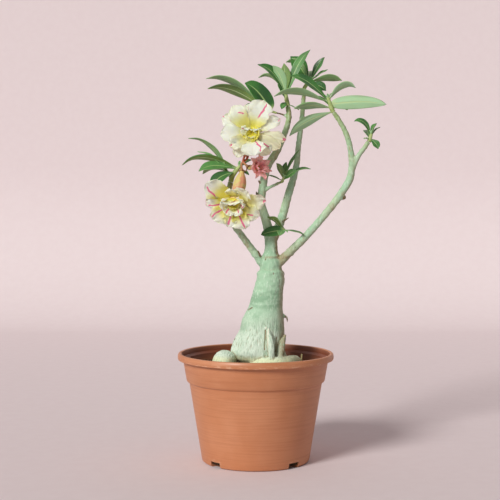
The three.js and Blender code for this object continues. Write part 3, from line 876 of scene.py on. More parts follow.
@dataclass
class NurseryPot:
    """The round pot with its rolled rim, collar, step, tapered body and four drain notches."""

    height: float = 125
    rim: float = 90
    mouth: float = 85.5
    band: float = 7.5
    collar_top: float = 83.8
    collar_foot: float = 79.8
    collar_height: float = 93.5
    body_top: float = 76.7
    base: float = 62.5
    wall: float = 1.9
    floor: float = 2.6
    sides: int = 144
    notches: int = 4
    notch_angle: float = 43
    notch_width: float = 15
    notch_height: float = 6.8
    notch_depth: float = 9
    notch_round: float = 0.9
    foot_round: float = 3.5
    wall_rings: int = 12

    def profile(self) -> list[tuple[float, float]]:
        """Radius and height of every ring, from the underside, over the rim, to the inner floor."""
        under = self.height - self.band
        step = self.collar_height - 2
        foot, count = self.foot_round, self.wall_rings
        body = [(self.base + (self.body_top - self.base) * k / count, foot + (step - foot) * k / count)
                for k in range(1, count)]
        inside = [(r - self.wall, z) for r, z in reversed(body)][:-1]
        return [
            (self.base - foot, 0), (self.base - 2, 0.35), (self.base - 0.6, 1.5), (self.base, foot), *body,
            (self.body_top, step - 0.5), (self.body_top + 0.2, step), (self.collar_foot - 0.5, step + 1.6),
            (self.collar_foot, self.collar_height + 0.4), (self.collar_top - 0.1, under - 1.6),
            (self.collar_top + 0.1, under - 0.5), (self.collar_top + 0.9, under - 0.05), (self.rim - 1.6, under),
            (self.rim - 0.5, under + 0.4), (self.rim - 0.05, under + 1.6), (self.rim, under + 3.6),
            (self.rim - 0.2, self.height - 1.8), (self.rim - 0.9, self.height - 0.5), (self.rim - 2, self.height),
            (self.mouth + 1.2, self.height), (self.mouth + 0.3, self.height - 0.4),
            (self.mouth, self.height - 1.3), (self.mouth - 0.3, under + 1.5),
            (self.collar_top - self.wall, under - 1), (self.collar_foot - self.wall, self.collar_height + 0.5),
            (self.body_top - self.wall, step), *inside, (self.base - self.wall + 0.3, self.floor + 1.5),
            (self.base - self.wall - 1.2, self.floor),
        ]

    def build(self) -> Piece:
        """Raises the pot ring by ring and cuts its drain notches.

        Returns:
            The pot.
        """
        (radius, z), *rings = self.profile()
        tower = RingTower("pot", Vector((0, 0, z * MM)), radius * MM, self.sides)
        for radius, z in rings:
            tower.raise_to(Vector((0, 0, z * MM)), radius * MM)
        pot = tower.done()
        for k in range(self.notches):
            self.cut_notch(pot, radians(270 + self.notch_angle + 360 * k / self.notches))
        self.mark_wear(pot)
        return smooth(pot, 32)

    def cut_notch(self, pot: Piece, angle: float) -> None:
        """Cuts one notch through the corner of the base."""
        reach = self.notch_depth + 8
        middle = self.base - self.notch_depth + reach / 2
        clear_selection()
        place = (middle * MM * cos(angle), middle * MM * sin(angle), (self.notch_height / 2 - 1) * MM)
        bpy.ops.mesh.primitive_cube_add(size=1, location=place, rotation=(0, 0, angle))
        cutter = bpy.context.object
        bpy.ops.transform.resize(value=(reach * MM, self.notch_width * MM, (self.notch_height + 2) * MM),
                                 orient_type="LOCAL")
        shaped(cutter, "BEVEL", width=self.notch_round * MM, segments=3)
        shaped(pot, "BOOLEAN", operation="DIFFERENCE", object=cutter, solver="EXACT")
        discard(cutter)

    def mark_wear(self, pot: Piece) -> None:
        """Marks the inside wall for its painted shade, and where the plastic is scuffed, with a painted highlight
        along the notch edges.
        """
        points = points_of(pot)
        radius = np.hypot(points[:, 0], points[:, 1]) / MM
        height = points[:, 2] / MM
        outer = np.interp(height, [0, self.collar_height, self.height - self.band, self.height],
                          [self.base, self.body_top, self.collar_top, self.mouth])
        lip = (height > self.height - self.band + 0.2) & (radius < self.mouth + 0.2)
        inner = ((radius < outer - 1.2) | lip) & (height > 12)
        # The inside wall is painted darker, most of all low down: painted shade.
        mark(pot, inner=np.where(inner, np.interp(height, [95, 119, 124], [1.0, 0.92, 0.75]), 0.0))
        rim = np.interp(height, [117, 118, 120.5, 122.5], [0.1, 1.0, 0.35, 0.0]) * (radius > self.mouth + 2)
        front = np.clip(-points[:, 1] / (self.rim * MM), 0, 1)
        # By the notches, the foot wear is partly a painted highlight along the notch edges.
        foot_wear_and_highlight = np.interp(height, [0, 4, 8.5, 11], [0.6, 0.9, 0.8, 0.0])
        turn = (np.degrees(np.arctan2(points[:, 1], points[:, 0])) - 270 - self.notch_angle) % 90
        near = np.minimum(turn, 90 - turn) < 9
        mark(pot, wear=np.clip(rim * (0.35 + 0.65 * front) + foot_wear_and_highlight * near, 0, 1))


@dataclass
class PottingSoil:
    """The potting mix that fills the pot, with a crumbled top and loose crumbs on it."""

    top: float = 110
    edge: float = 79.2
    foot_edge: float = 60.2
    floor: float = 3.2
    shoulder: tuple[tuple[float, float], ...] = ((74.2, 91), (77.4, 94), (79.2, 107.4))
    crown: float = 1.2
    highest: float = 112.2
    sides: int = 96
    rings: int = 26
    crumbs: int = 420
    seed: int = 5

    def build(self) -> Piece:
        """Fills the pot and scatters the crumbs.

        Returns:
            The soil with its crumbs.
        """
        tower = RingTower("soil", Vector((0, 0, self.floor * MM)), self.foot_edge * MM, self.sides)
        for radius, z in self.shoulder:
            tower.raise_to(Vector((0, 0, z * MM)), radius * MM)
        for k in range(1, self.rings):
            share = 1 - k / self.rings
            height = self.top - 1 + self.crown * (1 - share * share)
            tower.raise_to(Vector((0, 0, height * MM)), self.edge * share * MM)
        soil = tower.done()
        points = points_of(soil)
        for row in points:
            if row[2] > 107 * MM:
                lump = 0.9 * cloud(row, 60) + 0.7 * cloud(row, 190, 3) + 0.35 * cloud(row, 480, 7)
                row[2] = min(row[2] + lump * MM, self.highest * MM)
        set_points(soil, points)
        mark(soil, crumb=0.0)
        return smooth(joined("soil", [soil, *self.scatter()]))

    def scatter(self) -> list[Piece]:
        """Loose crumbs and husks laid on the soil, each its own copy of one lump."""
        draw = random.Random(self.seed)
        clear_selection()
        bpy.ops.mesh.primitive_ico_sphere_add(subdivisions=1, radius=1.0)
        lump = bpy.context.object
        made = []
        for k in range(self.crumbs):
            angle, reach = draw.uniform(0, 2 * pi), self.edge * sqrt(draw.uniform(0.03, 0.97)) - 1.5
            size = draw.uniform(0.7, 2.0)
            crumb = lump.data.copy()
            angle_over, over = draw.uniform(0, pi), Vector((draw.random(), draw.random(), 1)).normalized()
            turn = Matrix.Rotation(angle_over, 4, over)
            stretch = Matrix.Diagonal((size * draw.uniform(0.8, 1.9), size, size * draw.uniform(0.45, 0.8), 1))
            spot = Vector((reach * cos(angle), reach * sin(angle), self.top + draw.uniform(-0.1, 0.7)))
            crumb.transform(Matrix.Scale(MM, 4) @ Matrix.Translation(spot) @ turn @ stretch)
            piece = bpy.data.objects.new(f"crumb_{k}", crumb)
            bpy.context.collection.objects.link(piece)
            mark(piece, crumb=draw.random())
            made.append(piece)
        discard(lump)
        return made


@dataclass
class StrawStick:
    """The short pale straw that stands in the soil."""

    foot: Spot = (51, 6, 92)
    head: Spot = (53.5, 5, 122.5)
    radius: float = 1.1
    crooks: tuple[tuple[float, float], ...] = ((0, 1), (0.25, 0.96), (-0.2, 1.02), (0.15, 0.9), (0, 0.82))

    def build(self) -> Piece:
        """The straw, a little crooked, with a torn end.

        Returns:
            The straw.
        """
        (x0, y0, z0), (x1, y1, z1) = self.foot, self.head
        stops = []
        for k, (sway, share) in enumerate(self.crooks):
            t = k / (len(self.crooks) - 1)
            stops.append((x0 + (x1 - x0) * t + sway, y0 + (y1 - y0) * t, z0 + (z1 - z0) * t, self.radius * share))
        straw = limb("straw_stick", Route(stops), 12, 20, domed=False)
        points = points_of(straw)
        for row in points:
            if row[2] > (z1 - 1) * MM:
                row[2] += (0.8 * sin(9 * atan2(row[1] - y1 * MM, row[0] - x1 * MM)) - 0.8) * MM
        set_points(straw, points)
        return smooth(straw, 40)


# ------------------------------------------------------------------------------ the caudex


BRANCHES: dict[str, list[Stop]] = {
    "left": [(9, -1, 226, 4.8), (-4, -4, 244, 4.1), (-16.5, -9, 261, 3.8), (-27, -14, 276, 3.5),
             (-31.5, -17, 295, 3.3), (-31, -19, 310, 3.2), (-28.5, -19.5, 321, 3)],
    "centre": [(17, -1, 256, 5.6), (11.5, -3, 279, 5.3), (6.5, -5, 295, 4.8), (7.5, -7, 313, 4.6),
               (13, -8, 338, 4.3), (23.5, -9, 356, 4.3), (34, -9, 380, 3.3), (38, -9, 396, 2.9),
               (36.5, -8, 408, 2.6)],
    "right": [(20, 1, 256, 5.4), (30, 3, 280, 4.9), (37, 4, 305, 4.5), (46.5, 6, 338, 3.7),
              (49.5, 7, 365, 3.1), (53, 8, 391, 2.9), (54.8, 9, 412, 2.5), (56, 10, 428, 2.3)],
    "far_right": [(22, -1, 224, 5.8), (40, -3, 242, 4.9), (57, -6, 259, 4.4), (80, -9, 285.5, 4.3),
                  (96, -11, 306.5, 4.2), (107.5, -12, 326, 4.3), (109.2, -13, 342, 3.6),
                  (107, -13, 362, 3.2), (102, -13, 378, 2.9), (93, -12.2, 394, 2.6), (88.6, -12, 400.5, 2.5)],
    "fork": [(108.5, -12.5, 333, 3.4), (116, -14, 350, 2.9), (124, -14.6, 361, 2.6), (128, -15, 367, 2.5)],
}

TWIGS: dict[str, list[Stop]] = {
    "side": [(8, -7, 311, 2.2), (20, -10, 317.5, 1.7), (28.5, -13.5, 321.3, 1.5)],
    "neck": [(28, 1, 272, 2.6), (30, -5, 269.5, 2), (31, -8.5, 268.3, 1.7)],
    "behind": [(37, -9, 396, 2), (30, -9.5, 398.5, 1.4), (24, -10, 400, 1.3)],
    "neck_stub": [(7, -2, 233, 2.2), (4.5, -4, 238, 1.8), (3, -5, 242.5, 1)],
    "fork_stub": [(29, 2, 275, 2), (33, -1, 277.5, 1.3), (37.5, -3, 280.5, 1)],
    "hook": [(30, -2, 168, 3), (35.5, -2.5, 166, 1.6), (36.6, -3, 160, 0.8)],
    "upper_bud": [(8, -8, 318, 2.2), (4, -9.5, 321.5, 1.4), (2.6, -10, 323.5, 0.7)],
    "lower_bud": [(7, -7, 305, 2.8), (2, -9, 306, 2.1), (0.6, -10, 310.5, 0.9)],
    "bark_bud": [(96, -11, 304, 3.2), (101, -11.5, 303.5, 2.2), (102.2, -12, 305, 1.2)],
}


TRUNK: list[Spot] = [  # height, middle and half width
    (86, 9, 17), (100, 9.5, 21), (112, 9.5, 25), (119, 5.5, 31), (127, 2.2, 31.5), (140, 4.4, 29.3),
    (151.5, 7.3, 26), (163, 8.2, 24.4), (177, 11.2, 19.7), (187, 12.9, 18.6), (198, 14.7, 16.8), (209, 17, 16.2),
    (217.5, 17, 15.1), (221.7, 17.3, 13.1), (230, 17.9, 11.9), (237, 17.4, 9.6), (244, 17.9, 7.2), (257, 17.4, 7.5),
    (266, 17, 8.6)]

ROOTS: dict[str, list[Stop]] = {
    "knee": [(-36, -15, 88, 11), (-36, -15, 102, 13.4), (-36, -15, 110, 14.6), (-35.8, -15, 115.2, 14.4)],
    "link": [(-37, -15, 97, 8), (-20, -10, 95, 9), (2, -4, 96, 10)],
    "coil": [(-4, -20, 113.5, 7), (12, -29, 115.5, 7.6), (28, -28, 116.5, 7.4), (41, -17, 116.5, 7.2),
             (46, -4, 114.5, 6.4), (43, 5, 107, 4.6)],
    "left_finger": [(14.4, -23.5, 153, 1.5), (16.5, -27.8, 143, 3.2), (17.8, -30.8, 131, 3.8),
                    (18.2, -31.5, 122, 3.5)],
    "right_finger": [(34, -13, 147.5, 1.0), (31.6, -17, 141, 2.8), (28.8, -21.5, 131, 4.2), (27, -25, 121, 4.2)],
}

SCARS_AND_SHADOW: list[Stop] = [
    (20.2, -14, 217.5, 1.1), (11.2, -8, 233, 1.4), (22.6, -5.5, 246, 1.2), (15, -7.5, 251.5, 0.8),
    (-14, -8, 161.5, 1.3), (-11.5, -11, 162, 1.2), (-40, -27, 118, 0.7), (-33, -29, 115, 0.6),
    # The last spot is a painted shadow where the left finger root meets the coil root.
    (-44, -24, 112, 0.7), (40, -24.5, 119, 1.1), (18.4, -33, 125.5, 1.0)]

CRACKS_AND_SHADED_CREVICES = [  # both ends as x and height, then breadth, depth and darkness; the darkness of the first two, in the crevices beside the finger roots, is painted shade, and that of the broad one down the right of the neck is partly painted shade
    ((10.9, 153.3), (10.0, 131.8), 0.9, 1.0, 0.9), ((23.4, 144), (22.6, 129), 1.0, 0.9, 0.8),
    ((24, 222), (26.6, 209), 0.5, 0.3, 0.6), ((27.4, 212), (27, 200), 0.5, 0.3, 0.6),
    ((21.5, 214), (22.4, 206), 0.4, 0.25, 0.45), ((24.6, 256), (23.8, 239), 2.0, 0.2, 0.55),
    ((-8.9, 174.9), (-4.3, 178), 1.0, 0.35, 0.8), ((-24.2, 146), (-24.6, 140.5), 1.1, 0.4, 0.9),
    ((12, 157.5), (9.6, 160.5), 0.7, 0.4, 0.6)]

BANDS: list[Spot] = [  # height, breadth and lift of the rings round the neck
    (236.9, 1.5, 0.6), (234.0, 1.4, -0.4), (221.6, 2.0, -0.65), (217.2, 2.0, 0.8), (204.8, 1.8, 0.15),
    (192, 1.6, -0.12), (183, 1.6, -0.12)]

RING_SCAR = (13.7, 163.4)  # x and height of marks on the front
KNOB = (11.6, 155.8)
SEAM = ((14.2, 154.4), (13.2, 131))


def bell(distance: np.ndarray, breadth: float) -> np.ndarray:
    """1 at no distance, and near 0 beyond twice the breadth."""
    return np.exp(-(distance / breadth) ** 2)


def near_line(points: np.ndarray, a: Sequence[float], b: Sequence[float]) -> np.ndarray:
    """Distance in millimetres from each point to a short line.

    Args:
        points: The points in metres.
        a: One end, or only its x and height for a line drawn on the front.
        b: The other end.

    Returns:
        The distances. Points on the back are far from a line that is drawn on the front.
    """
    is_drawn = len(a) == 2
    start, run = np.array(a, float), np.array(b, float) - np.array(a, float)
    local = (points[:, [0, 2]] if is_drawn else points) / MM - start
    share = np.clip(local @ run / max(run @ run, 1e-9), 0, 1)
    return np.linalg.norm(local - share[:, None] * run, axis=1) + 1000 * (is_drawn * (points[:, 1] > 0))


@dataclass
class Caudex:
    """The swollen trunk with its surface roots, woody branches, twigs and scars, grown as one piece."""

    depth: float = 0.93
    voxel: float = 0.85
    ring_step: float = 3.0
    seed: int = 31

    def build(self) -> Piece:
        """Models every limb, grows them together and works the bark.

        Returns:
            The whole woody plant.
        """
        parts = [self.stem()]
        parts += [limb(name, Route(stops), 20, 5 * len(stops)) for name, stops in ROOTS.items()]
        parts += [limb(name, Route(stops), 18, 6 * len(stops), domed=False) for name, stops in BRANCHES.items()]
        parts += [limb(name, Route(stops), 10, 10) for name, stops in TWIGS.items()]
        whole = joined("caudex", parts)
        shaped(whole, "REMESH", mode="VOXEL", voxel_size=self.voxel * MM, adaptivity=0.0)
        shaped(whole, "SMOOTH", factor=0.5, iterations=4)
        self.work_bark(whole)
        return smooth(whole)

    def section(self, heights: np.ndarray) -> tuple[np.ndarray, np.ndarray]:
        """The trunk's middle and half width at some heights, in millimetres."""
        table = np.array(TRUNK, float).T
        return np.interp(heights, table[0], table[1]), np.interp(heights, table[0], table[2])

    def stem(self) -> Piece:
        """The trunk alone, ring by ring."""
        heights = np.arange(TRUNK[0][0], TRUNK[-1][0] + 0.1, self.ring_step)
        across, half = self.section(heights)
        tower = RingTower("trunk", Vector((across[0], 0, heights[0])) * MM, half[0] * MM, 64)
        for z, x, r in zip(heights[1:], across[1:], half[1:]):
            tower.raise_to(Vector((x, 0, z)) * MM, float(r) * MM)
        trunk = tower.done()
        points = points_of(trunk)
        points[:, 1] *= self.depth
        set_points(trunk, points)
        return trunk

    def work_bark(self, whole: Piece) -> None:
        """Raises wrinkles, rings, nodes and scars on the bark, and marks where its colour changes, with painted shade
        in creases and crevices and on the sides away from the light.
        """
        points, normals = points_of(whole), normals_of(whole)
        limb_share, young, node, scar = self.read_branches(points)
        body = 1 - limb_share
        place = points / MM
        height = place[:, 2]
        low = np.clip((172 - height) / 22, 0, 1) * np.clip((height - 117) / 7, 0.1, 1) * body
        high = np.clip((height - 186) / 10, 0, 1) * body
        wrinkle, fold, ring, rough, lump = (np.array([
            noise.noise(Vector((x * across, y * across, z * along))) for x, y, z in points])
            for across, along in ((430, 60), (130, 22), (24, 300), (300, 260), (42, 42)))
        lift = low * (1.1 * (0.3 - np.abs(wrinkle)) + 0.5 * fold) + high * (0.3 * ring + 0.42 * rough)
        lift += body * (0.5 * lump + 0.12 * rough) + limb_share * (0.2 * ring + 0.25 * rough)
        lift += 0.38 * node - 0.35 * scar
        for level, spread, amount in BANDS:
            lift += amount * bell(height - level + 2.2 * fold + 1.6 * ring, spread) * body
        # Scars and cracks darken the bark; in the finger-root crevices and at the last spot this is painted shade.
        cut_and_shade = scar.copy()
        for a, b, breadth, depth, share in CRACKS_AND_SHADED_CREVICES:
            near = bell(near_line(points, a, b), breadth)
            cut_and_shade = np.maximum(cut_and_shade, share * near)
            lift -= depth * near
        for x, y, z, r in SCARS_AND_SHADOW:
            away = (place - np.array((x, y, z))) * (1, 1, 0.55)
            near = bell(np.linalg.norm(away, axis=1), r * 1.1)
            cut_and_shade = np.maximum(cut_and_shade, near * 0.85)
            lift -= 0.3 * near
        ring_scar = np.abs(near_line(points, RING_SCAR, RING_SCAR) - 3.0)
        cut_and_shade = np.maximum(cut_and_shade, 0.55 * bell(ring_scar, 0.5))
        seam = near_line(points, *SEAM)
        knob = bell(near_line(points, KNOB, KNOB), 1.5)
        lift += 1.1 * knob + 0.5 * bell(seam, 0.9)
        # Branch sides turned right and down, away from the light, are painted tan: painted shade.
        shaded_side = np.clip(0.9 * normals[:, 0] - 0.5 * normals[:, 2] - 0.15 + 0.6 * rough, 0, 1) * limb_share
        set_points(whole, points + normals * (lift * MM)[:, None])
        # Creases are marked so that the bark paints them darker: painted shade.
        crease = np.maximum(self.hollows(whole, 10) / 0.34, self.hollows(whole, 60) / 1.7)
        mark(whole, limb=limb_share, young=young, scar=np.clip(cut_and_shade, 0, 1), cream=np.maximum(bell(seam, 1.1), knob),
             crease=np.clip(crease, 0, 1),
             tan=np.clip(self.tan_share(points, limb_share) + 0.65 * shaded_side, 0, 1))

    def tan_share(self, points: np.ndarray, limb_share: np.ndarray) -> np.ndarray:
        """How tan the bark is: beside the neck, in a ring under the neck's ridge, down the right edge, at the foot and
        on two roots. Beside the neck and down the right edge, the tan is partly painted shade away from the light, and
        the ring is painted shade.
        """
        place = points / MM
        # Tan down the right of the neck, partly painted shade away from the light, and a ring of painted shade under
        # the neck's ridge.
        side = bell(near_line(points, (25, -4, 258), (27.5, -3, 238)), 4.5)
        side += 0.7 * bell(place[:, 2] - 235.4, 1.2) * (place[:, 0] > 10) * (1 - limb_share)
        centre, half = self.section(place[:, 2])
        # Tan down the trunk's right edge, partly painted shade away from the light.
        edge = np.clip(((place[:, 0] - centre) / half - 0.62) / 0.3, 0, 1)
        edge *= np.clip((place[:, 2] - 116) / 10, 0, 1) * (1 - limb_share)
        foot = np.clip((124 - place[:, 2]) / 6, 0, 1) * np.clip((-2 - place[:, 0]) / 8, 0, 1)
        foot *= place[:, 0] > -31
        roots = 0.55 * bell(near_line(points, (32, -16, 143), (27.5, -25, 122)), 5.5)
        roots += 0.5 * bell(near_line(points, (40, -18, 117), (46, -3, 114)), 6.5)
        return np.clip(side + 0.8 * edge + 0.8 * foot + roots, 0, 1)

    def hollows(self, whole: Piece, passes: int) -> np.ndarray:
        """How deep each point lies in a crease, in millimetres, against its smoothed surroundings; the bark paints
        these creases with painted shade.
        """
        count = len(whole.data.edges)
        pairs = np.zeros(count * 2, dtype=np.int64)
        whole.data.edges.foreach_get("vertices", pairs)
        first, second = pairs.reshape(-1, 2).T
        size = len(whole.data.vertices)
        links = np.maximum(np.bincount(first, minlength=size) + np.bincount(second, minlength=size), 1)
        start = points_of(whole)
        even = start.copy()
        for _ in range(passes):
            even = np.stack([
                np.bincount(first, even[second, k], size) + np.bincount(second, even[first, k], size)
                for k in range(3)], axis=1) / links[:, None]
        return np.einsum("ij,ij->i", even - start, normals_of(whole)) / MM

    def read_branches(self, points: np.ndarray) -> tuple[np.ndarray, ...]:
        """How much each point belongs to a branch, how young the wood is, and its nodes and scars.

        Args:
            points: The points in metres.

        Returns:
            Four rows: share of branch, youth, swelling and leaf scar.
        """
        count = len(points)
        share, young, node, scar = (np.zeros(count) for _ in range(4))
        draw = random.Random(self.seed)
        for name, stops in {**BRANCHES, **TWIGS}.items():
            route = Route(stops)
            steps = max(12, int(route.length() / MM / 1.5))
            samples = [route.at(k / steps) for k in range(steps + 1)]
            line = np.array([tuple(s[0]) for s in samples]) / MM
            radii = np.array([s[2] for s in samples]) / MM
            low, high = line.min(0) - 8, line.max(0) + 8
            inside = np.where(np.all((points / MM > low) & (points / MM < high), axis=1))[0]
            if not len(inside):
                continue
            local = points[inside] / MM
            gaps = np.linalg.norm(local[:, None, :] - line[None, :, :], axis=2)
            nearest = gaps.argmin(1)
            distance = gaps.min(1)
            close = np.clip((radii[nearest] * 1.35 + 1.0 - distance) / 1.2, 0, 1)
            rise = np.clip((local[:, 2] - 238) / 22, 0, 1) if name in ("centre", "right") else 1.0
            away = np.clip((nearest / steps - (0.05 if name in ("left", "far_right") else 0)) / 0.12, 0, 1)
            held = close * rise * away
            share[inside] = np.maximum(share[inside], held)
            young[inside] = np.maximum(young[inside], held * (nearest / steps) ** 1.5)
            if name in TWIGS and name not in ("side", "neck"):
                scar[inside] = np.maximum(scar[inside], 0.75 * held * (nearest > steps * 0.25))
                continue
            arc = nearest * (route.length() / MM / steps)
            mark_at, turn = 6.0, draw.uniform(0, 6)
            while mark_at < route.length() / MM:
                here = route.at(mark_at / (route.length() / MM))
                across = here[1].orthogonal().normalized()
                spot = here[0] + (Matrix.Rotation(turn, 3, here[1]) @ across) * here[2]
                size = draw.uniform(0.9, 1.5) * (0.6 + 0.4 * min(1.0, here[2] / MM / 4))
                gap = np.linalg.norm(local - np.array(tuple(spot)) / MM, axis=1)
                scar[inside] = np.maximum(scar[inside], bell(gap, size) * draw.uniform(0.4, 0.8))
                node[inside] = np.maximum(node[inside], bell(arc - mark_at, 1.6) * 0.8 * held)
                turn += 2.4
                mark_at += draw.uniform(5.0, 9.5)
        return share, young, node, scar


# ------------------------------------------------------------------------------ leafy shoots


@dataclass(frozen=True)
class Leaf:
    """One leaf of a shoot: where it leaves the stem, how it points, its size and how it turns.

    Place is 0 at the foot of the green tip and 1 at its end. Tone is 0 for an old, deep green
    leaf and 1 for a young, pale one; below 0, only the underside is pale.
    """

    place: float
    azimuth: float
    rise: float
    length: float
    width: float
    bend: float
    roll: float
    twist: float = 0.0
    tone: float = 0.15
    curl: float = 0.0
    outline: Callable[[float], float] = leaf_outline


@dataclass
class LeafyShoot:
    """A green shoot tip with its leaves."""

    name: str
    wood: list[Stop]
    tip: list[Stop]
    leaves: list[Leaf]
    seed: int
    thick: float = 0.75
    small: float = 26
    bud_leaves: int = 5

    def stem_stops(self) -> list[Stop]:
        """The stem's stops, from just beyond the flat end of the wood."""
        end = Vector(self.wood[-1][:3])
        run = Route(self.wood).at(1)[1]
        thick = self.wood[-1][3]
        first, second = end + run * GAP, end + run * (GAP + 2)
        return [(*first, thick), (*second, thick), *self.tip]

    def build(self, pattern: Piece, palette: "Palette") -> Piece:
        """Models the stem, its end bud and its leaves as one piece.

        Args:
            pattern: The flat leaf sheet to copy.
            palette: The plant's materials.

        Returns:
            The shoot, with its stem in the first material slot and its leaves in the next two.
        """
        draw = random.Random(self.seed)
        route = Route(self.stem_stops())
        stem = limb(self.name + "_stem", route, 14, 16)
        mark(stem, tone=0.5)
        blades = []
        for k, leaf in enumerate(self.leaves):
            blade = Blade(
                base=route.at(leaf.place)[0], out=heading(leaf.azimuth, leaf.rise), up=UP, length=leaf.length,
                width=leaf.width, bend=leaf.bend, outline=leaf.outline, rows=3 if leaf.length < self.small else 6,
                roll=leaf.roll, twist=leaf.twist, fold=0.24, ruffle=draw.uniform(0.15, 0.5),
                waves=draw.uniform(1.2, 2.4), phase=draw.uniform(0, 6), curl=leaf.curl)
            piece = blade.lay(pattern, f"{self.name}_{k}")
            mark(piece, tone=max(-1.0, min(1.0, leaf.tone + draw.uniform(-0.06, 0.1))))
            blades.append(piece)
        blades += self.end_bud(pattern, route, draw)
        foliage = dressed(joined(self.name + "_leaves", blades), *palette.leaf)
        return joined(self.name, [smooth(dressed(stem, palette.shoot)), thickened(foliage, self.thick)])

    def end_bud(self, pattern: Piece, route: Route, draw: random.Random) -> list[Piece]:
        """Small folded young leaves round the end of the stem."""
        spot, run, radius = route.at(1)
        made = []
        for k in range(self.bud_leaves):
            turn = k * GOLDEN_TURN + draw.uniform(-20, 20)
            out = (run * 1.1 + heading(turn, 10) * draw.uniform(0.35, 0.9)).normalized()
            blade = Blade(
                base=spot - run * radius * 0.3, out=out, up=UP if abs(out.z) < 0.98 else Vector((1, 0, 0)),
                length=draw.uniform(3.5, 7) * (0.6 + radius / MM / 3), width=draw.uniform(1.8, 3.0),
                bend=draw.uniform(10, 50), outline=leaf_outline, rows=3, fold=0.8)
            piece = blade.lay(pattern, f"{self.name}_bud_{k}")
            mark(piece, tone=0.85)
            made.append(piece)
        return made


# Each shoot's wood, the stops of its green tip, and its leaves as the values of Leaf.
SHOOTS: dict[str, tuple[list[Stop], list[Stop], list[tuple]]] = {
    "leaves_left": (BRANCHES["left"], [(-26.5, -19.8, 328, 2.9), (-22.5, -20.2, 334, 2.6), (-18.5, -20.6, 338.5, 2)], [
        (0.2, 182, 66, 73, 12, 86, -40, 30, 0.4, 80), (0.3, 178, 56, 52, 7, 66, 20, 0, 0.8),
        (0.9, 183, 24, 68, 19, 84, -34, 20, 0.05, 130), (0.85, 190, 12, 46, 15, 62, 42),
        (0.7, 214, -14, 37, 17, 62, 30), (0.9, 24, 42, 20, 7, 60, 30), (0.75, 340, -6, 17, 6, 60, 30),
        (0.6, 142, 16, 48, 17, 60, 0)]),
    "leaves_behind_bloom": (TWIGS["behind"], [(18, -10.8, 402, 1.5), (12, -11.6, 404, 1.7), (7, -12, 406.5, 1.6)], [
        (0.95, 179, 44, 76, 14, 68, -30, 10, 0.45), (0.9, 184, 34, 70, 19, 62, -45, 25, 0.0, 90),
        (0.55, 188, 58, 44, 24, 46, 62, 0, 0.05, 0, broad_outline), (0.95, 205, 10, 22, 7, 30, 30),
        (0.7, 152, 44, 46, 17, 70, 0)]),
    "leaves_centre": (BRANCHES["centre"], [(35.2, -8, 415, 2.5), (34, -8, 422, 2)], [
        (0.9, 182, 64, 50, 17, 66, 40, 0, 0.0), (0.8, 172, 66, 46, 8, 125, -30, 0, 0.4),
        (0.9, 184, 76, 38, 13, 40, -68, 0, 0.75), (0.95, 168, 88, 36, 13, 6, -80, 0, 0.0),
        (0.6, 190, 68, 22, 10, 40, 60), (0.85, 10, 72, 62, 11, 38, 60, 0, 0.25), (0.5, 235, -25, 15, 7, 60, 30),
        (0.8, 100, 62, 44, 17, 50, 0), (0.32, 350, -24, 15, 4, 14, 10)]),
    "leaves_right": (BRANCHES["right"], [(59, 10, 434.5, 2.2), (64, 10, 439.5, 1.8)], [
        (0.85, 178, 60, 37, 19, 24, 72, 0, 0.0), (0.95, 2, 64, 32, 10, 20, 50, 0, 0.1),
        (0.95, 0, 38, 24, 5, 26, 30), (0.9, 0, 12, 38, 12, 42, -38, 0, 0.3),
        (0.7, 352, -8, 24, 13, 66, 55, 0, 0.0), (0.8, 170, 70, 40, 14, 110, -30, 0, 0.5),
        (0.8, 85, 38, 44, 17, 60, 0)]),
    "leaves_top_right": (BRANCHES["far_right"], [(85.6, -12, 406.5, 2.6), (82.4, -12, 416, 2)], [
        (0.8, 353, 5, 64, 16.5, 24, -84, 6, -1.0, 80, broad_outline), (0.95, 2, 52, 38, 13, 112, -40, 20, 1.0),
        (0.85, 190, 20, 67, 17, 58, -22, 0, 0.7), (0.6, 189, 8, 44, 15, 40, -40, 0, 0.7, 130),
        (0.15, 193, -18, 60, 15, 44, -72, 10, -0.85, 100), (0.85, 188, 46, 56, 15, 50, 50, 0, 0.1),
        (0.7, 24, 32, 31, 9, 44, 20, 0, 0.0), (0.7, 186, 40, 22, 8, 44, 30, 0, 0.2),
        (0.5, 62, 14, 46, 17, 44, 0)]),
    "leaves_far_right": (BRANCHES["fork"], [(129.5, -15, 370.5, 2.4), (131, -15, 375, 1.8)], [
        (0.85, 181, 74, 30, 8, 128, 55), (0.9, 350, 74, 16, 10, 45, 30), (0.85, 5, 55, 16, 5, 60, 10),
        (0.7, 335, -40, 16, 9, 62, 50), (0.5, 200, 15, 8, 6, 60, 0, 0, 0.6), (0.6, 100, 40, 24, 9, 60, 0)]),
    "leaves_middle": (TWIGS["side"], [(30.5, -14.6, 323.6, 1.6), (32, -15, 326, 1.5)], [
        (0.85, 178, 74, 20, 8, 40, -60), (0.95, 2, 84, 19, 7, 15, 60), (0.9, 3, 66, 38, 6, 20, 30),
        (0.8, 0, 50, 14, 8, 20, -50), (0.6, 336, 38, 21, 11, 30, 60), (0.9, 358, 34, 34, 7, 58, 25),
        (0.5, 184, 25, 18, 5, 20, 20)]),
    "leaves_neck": (TWIGS["neck"], [(31.6, -10.5, 267.6, 1.8), (32.2, -13, 266.8, 1.6)], [
        (0.95, 184, -8, 27, 13, 16, 66, 0, 0.0, 0, broad_outline), (0.95, 248, -14, 15, 9, 60, 10, 0, 0.5),
        (0.6, 188, 48, 24, 10, 58, -30, 0, 0.0), (0.95, 355, -6, 24, 5, 42, 20)]),
}


def shoots() -> list[LeafyShoot]:
    """Every leafy shoot of the plant."""
    return [LeafyShoot(name, wood, tip, [Leaf(*row) for row in rows], seed)
            for seed, (name, (wood, tip, rows)) in enumerate(SHOOTS.items(), start=2)]


# ------------------------------------------------------------------------------ flowers


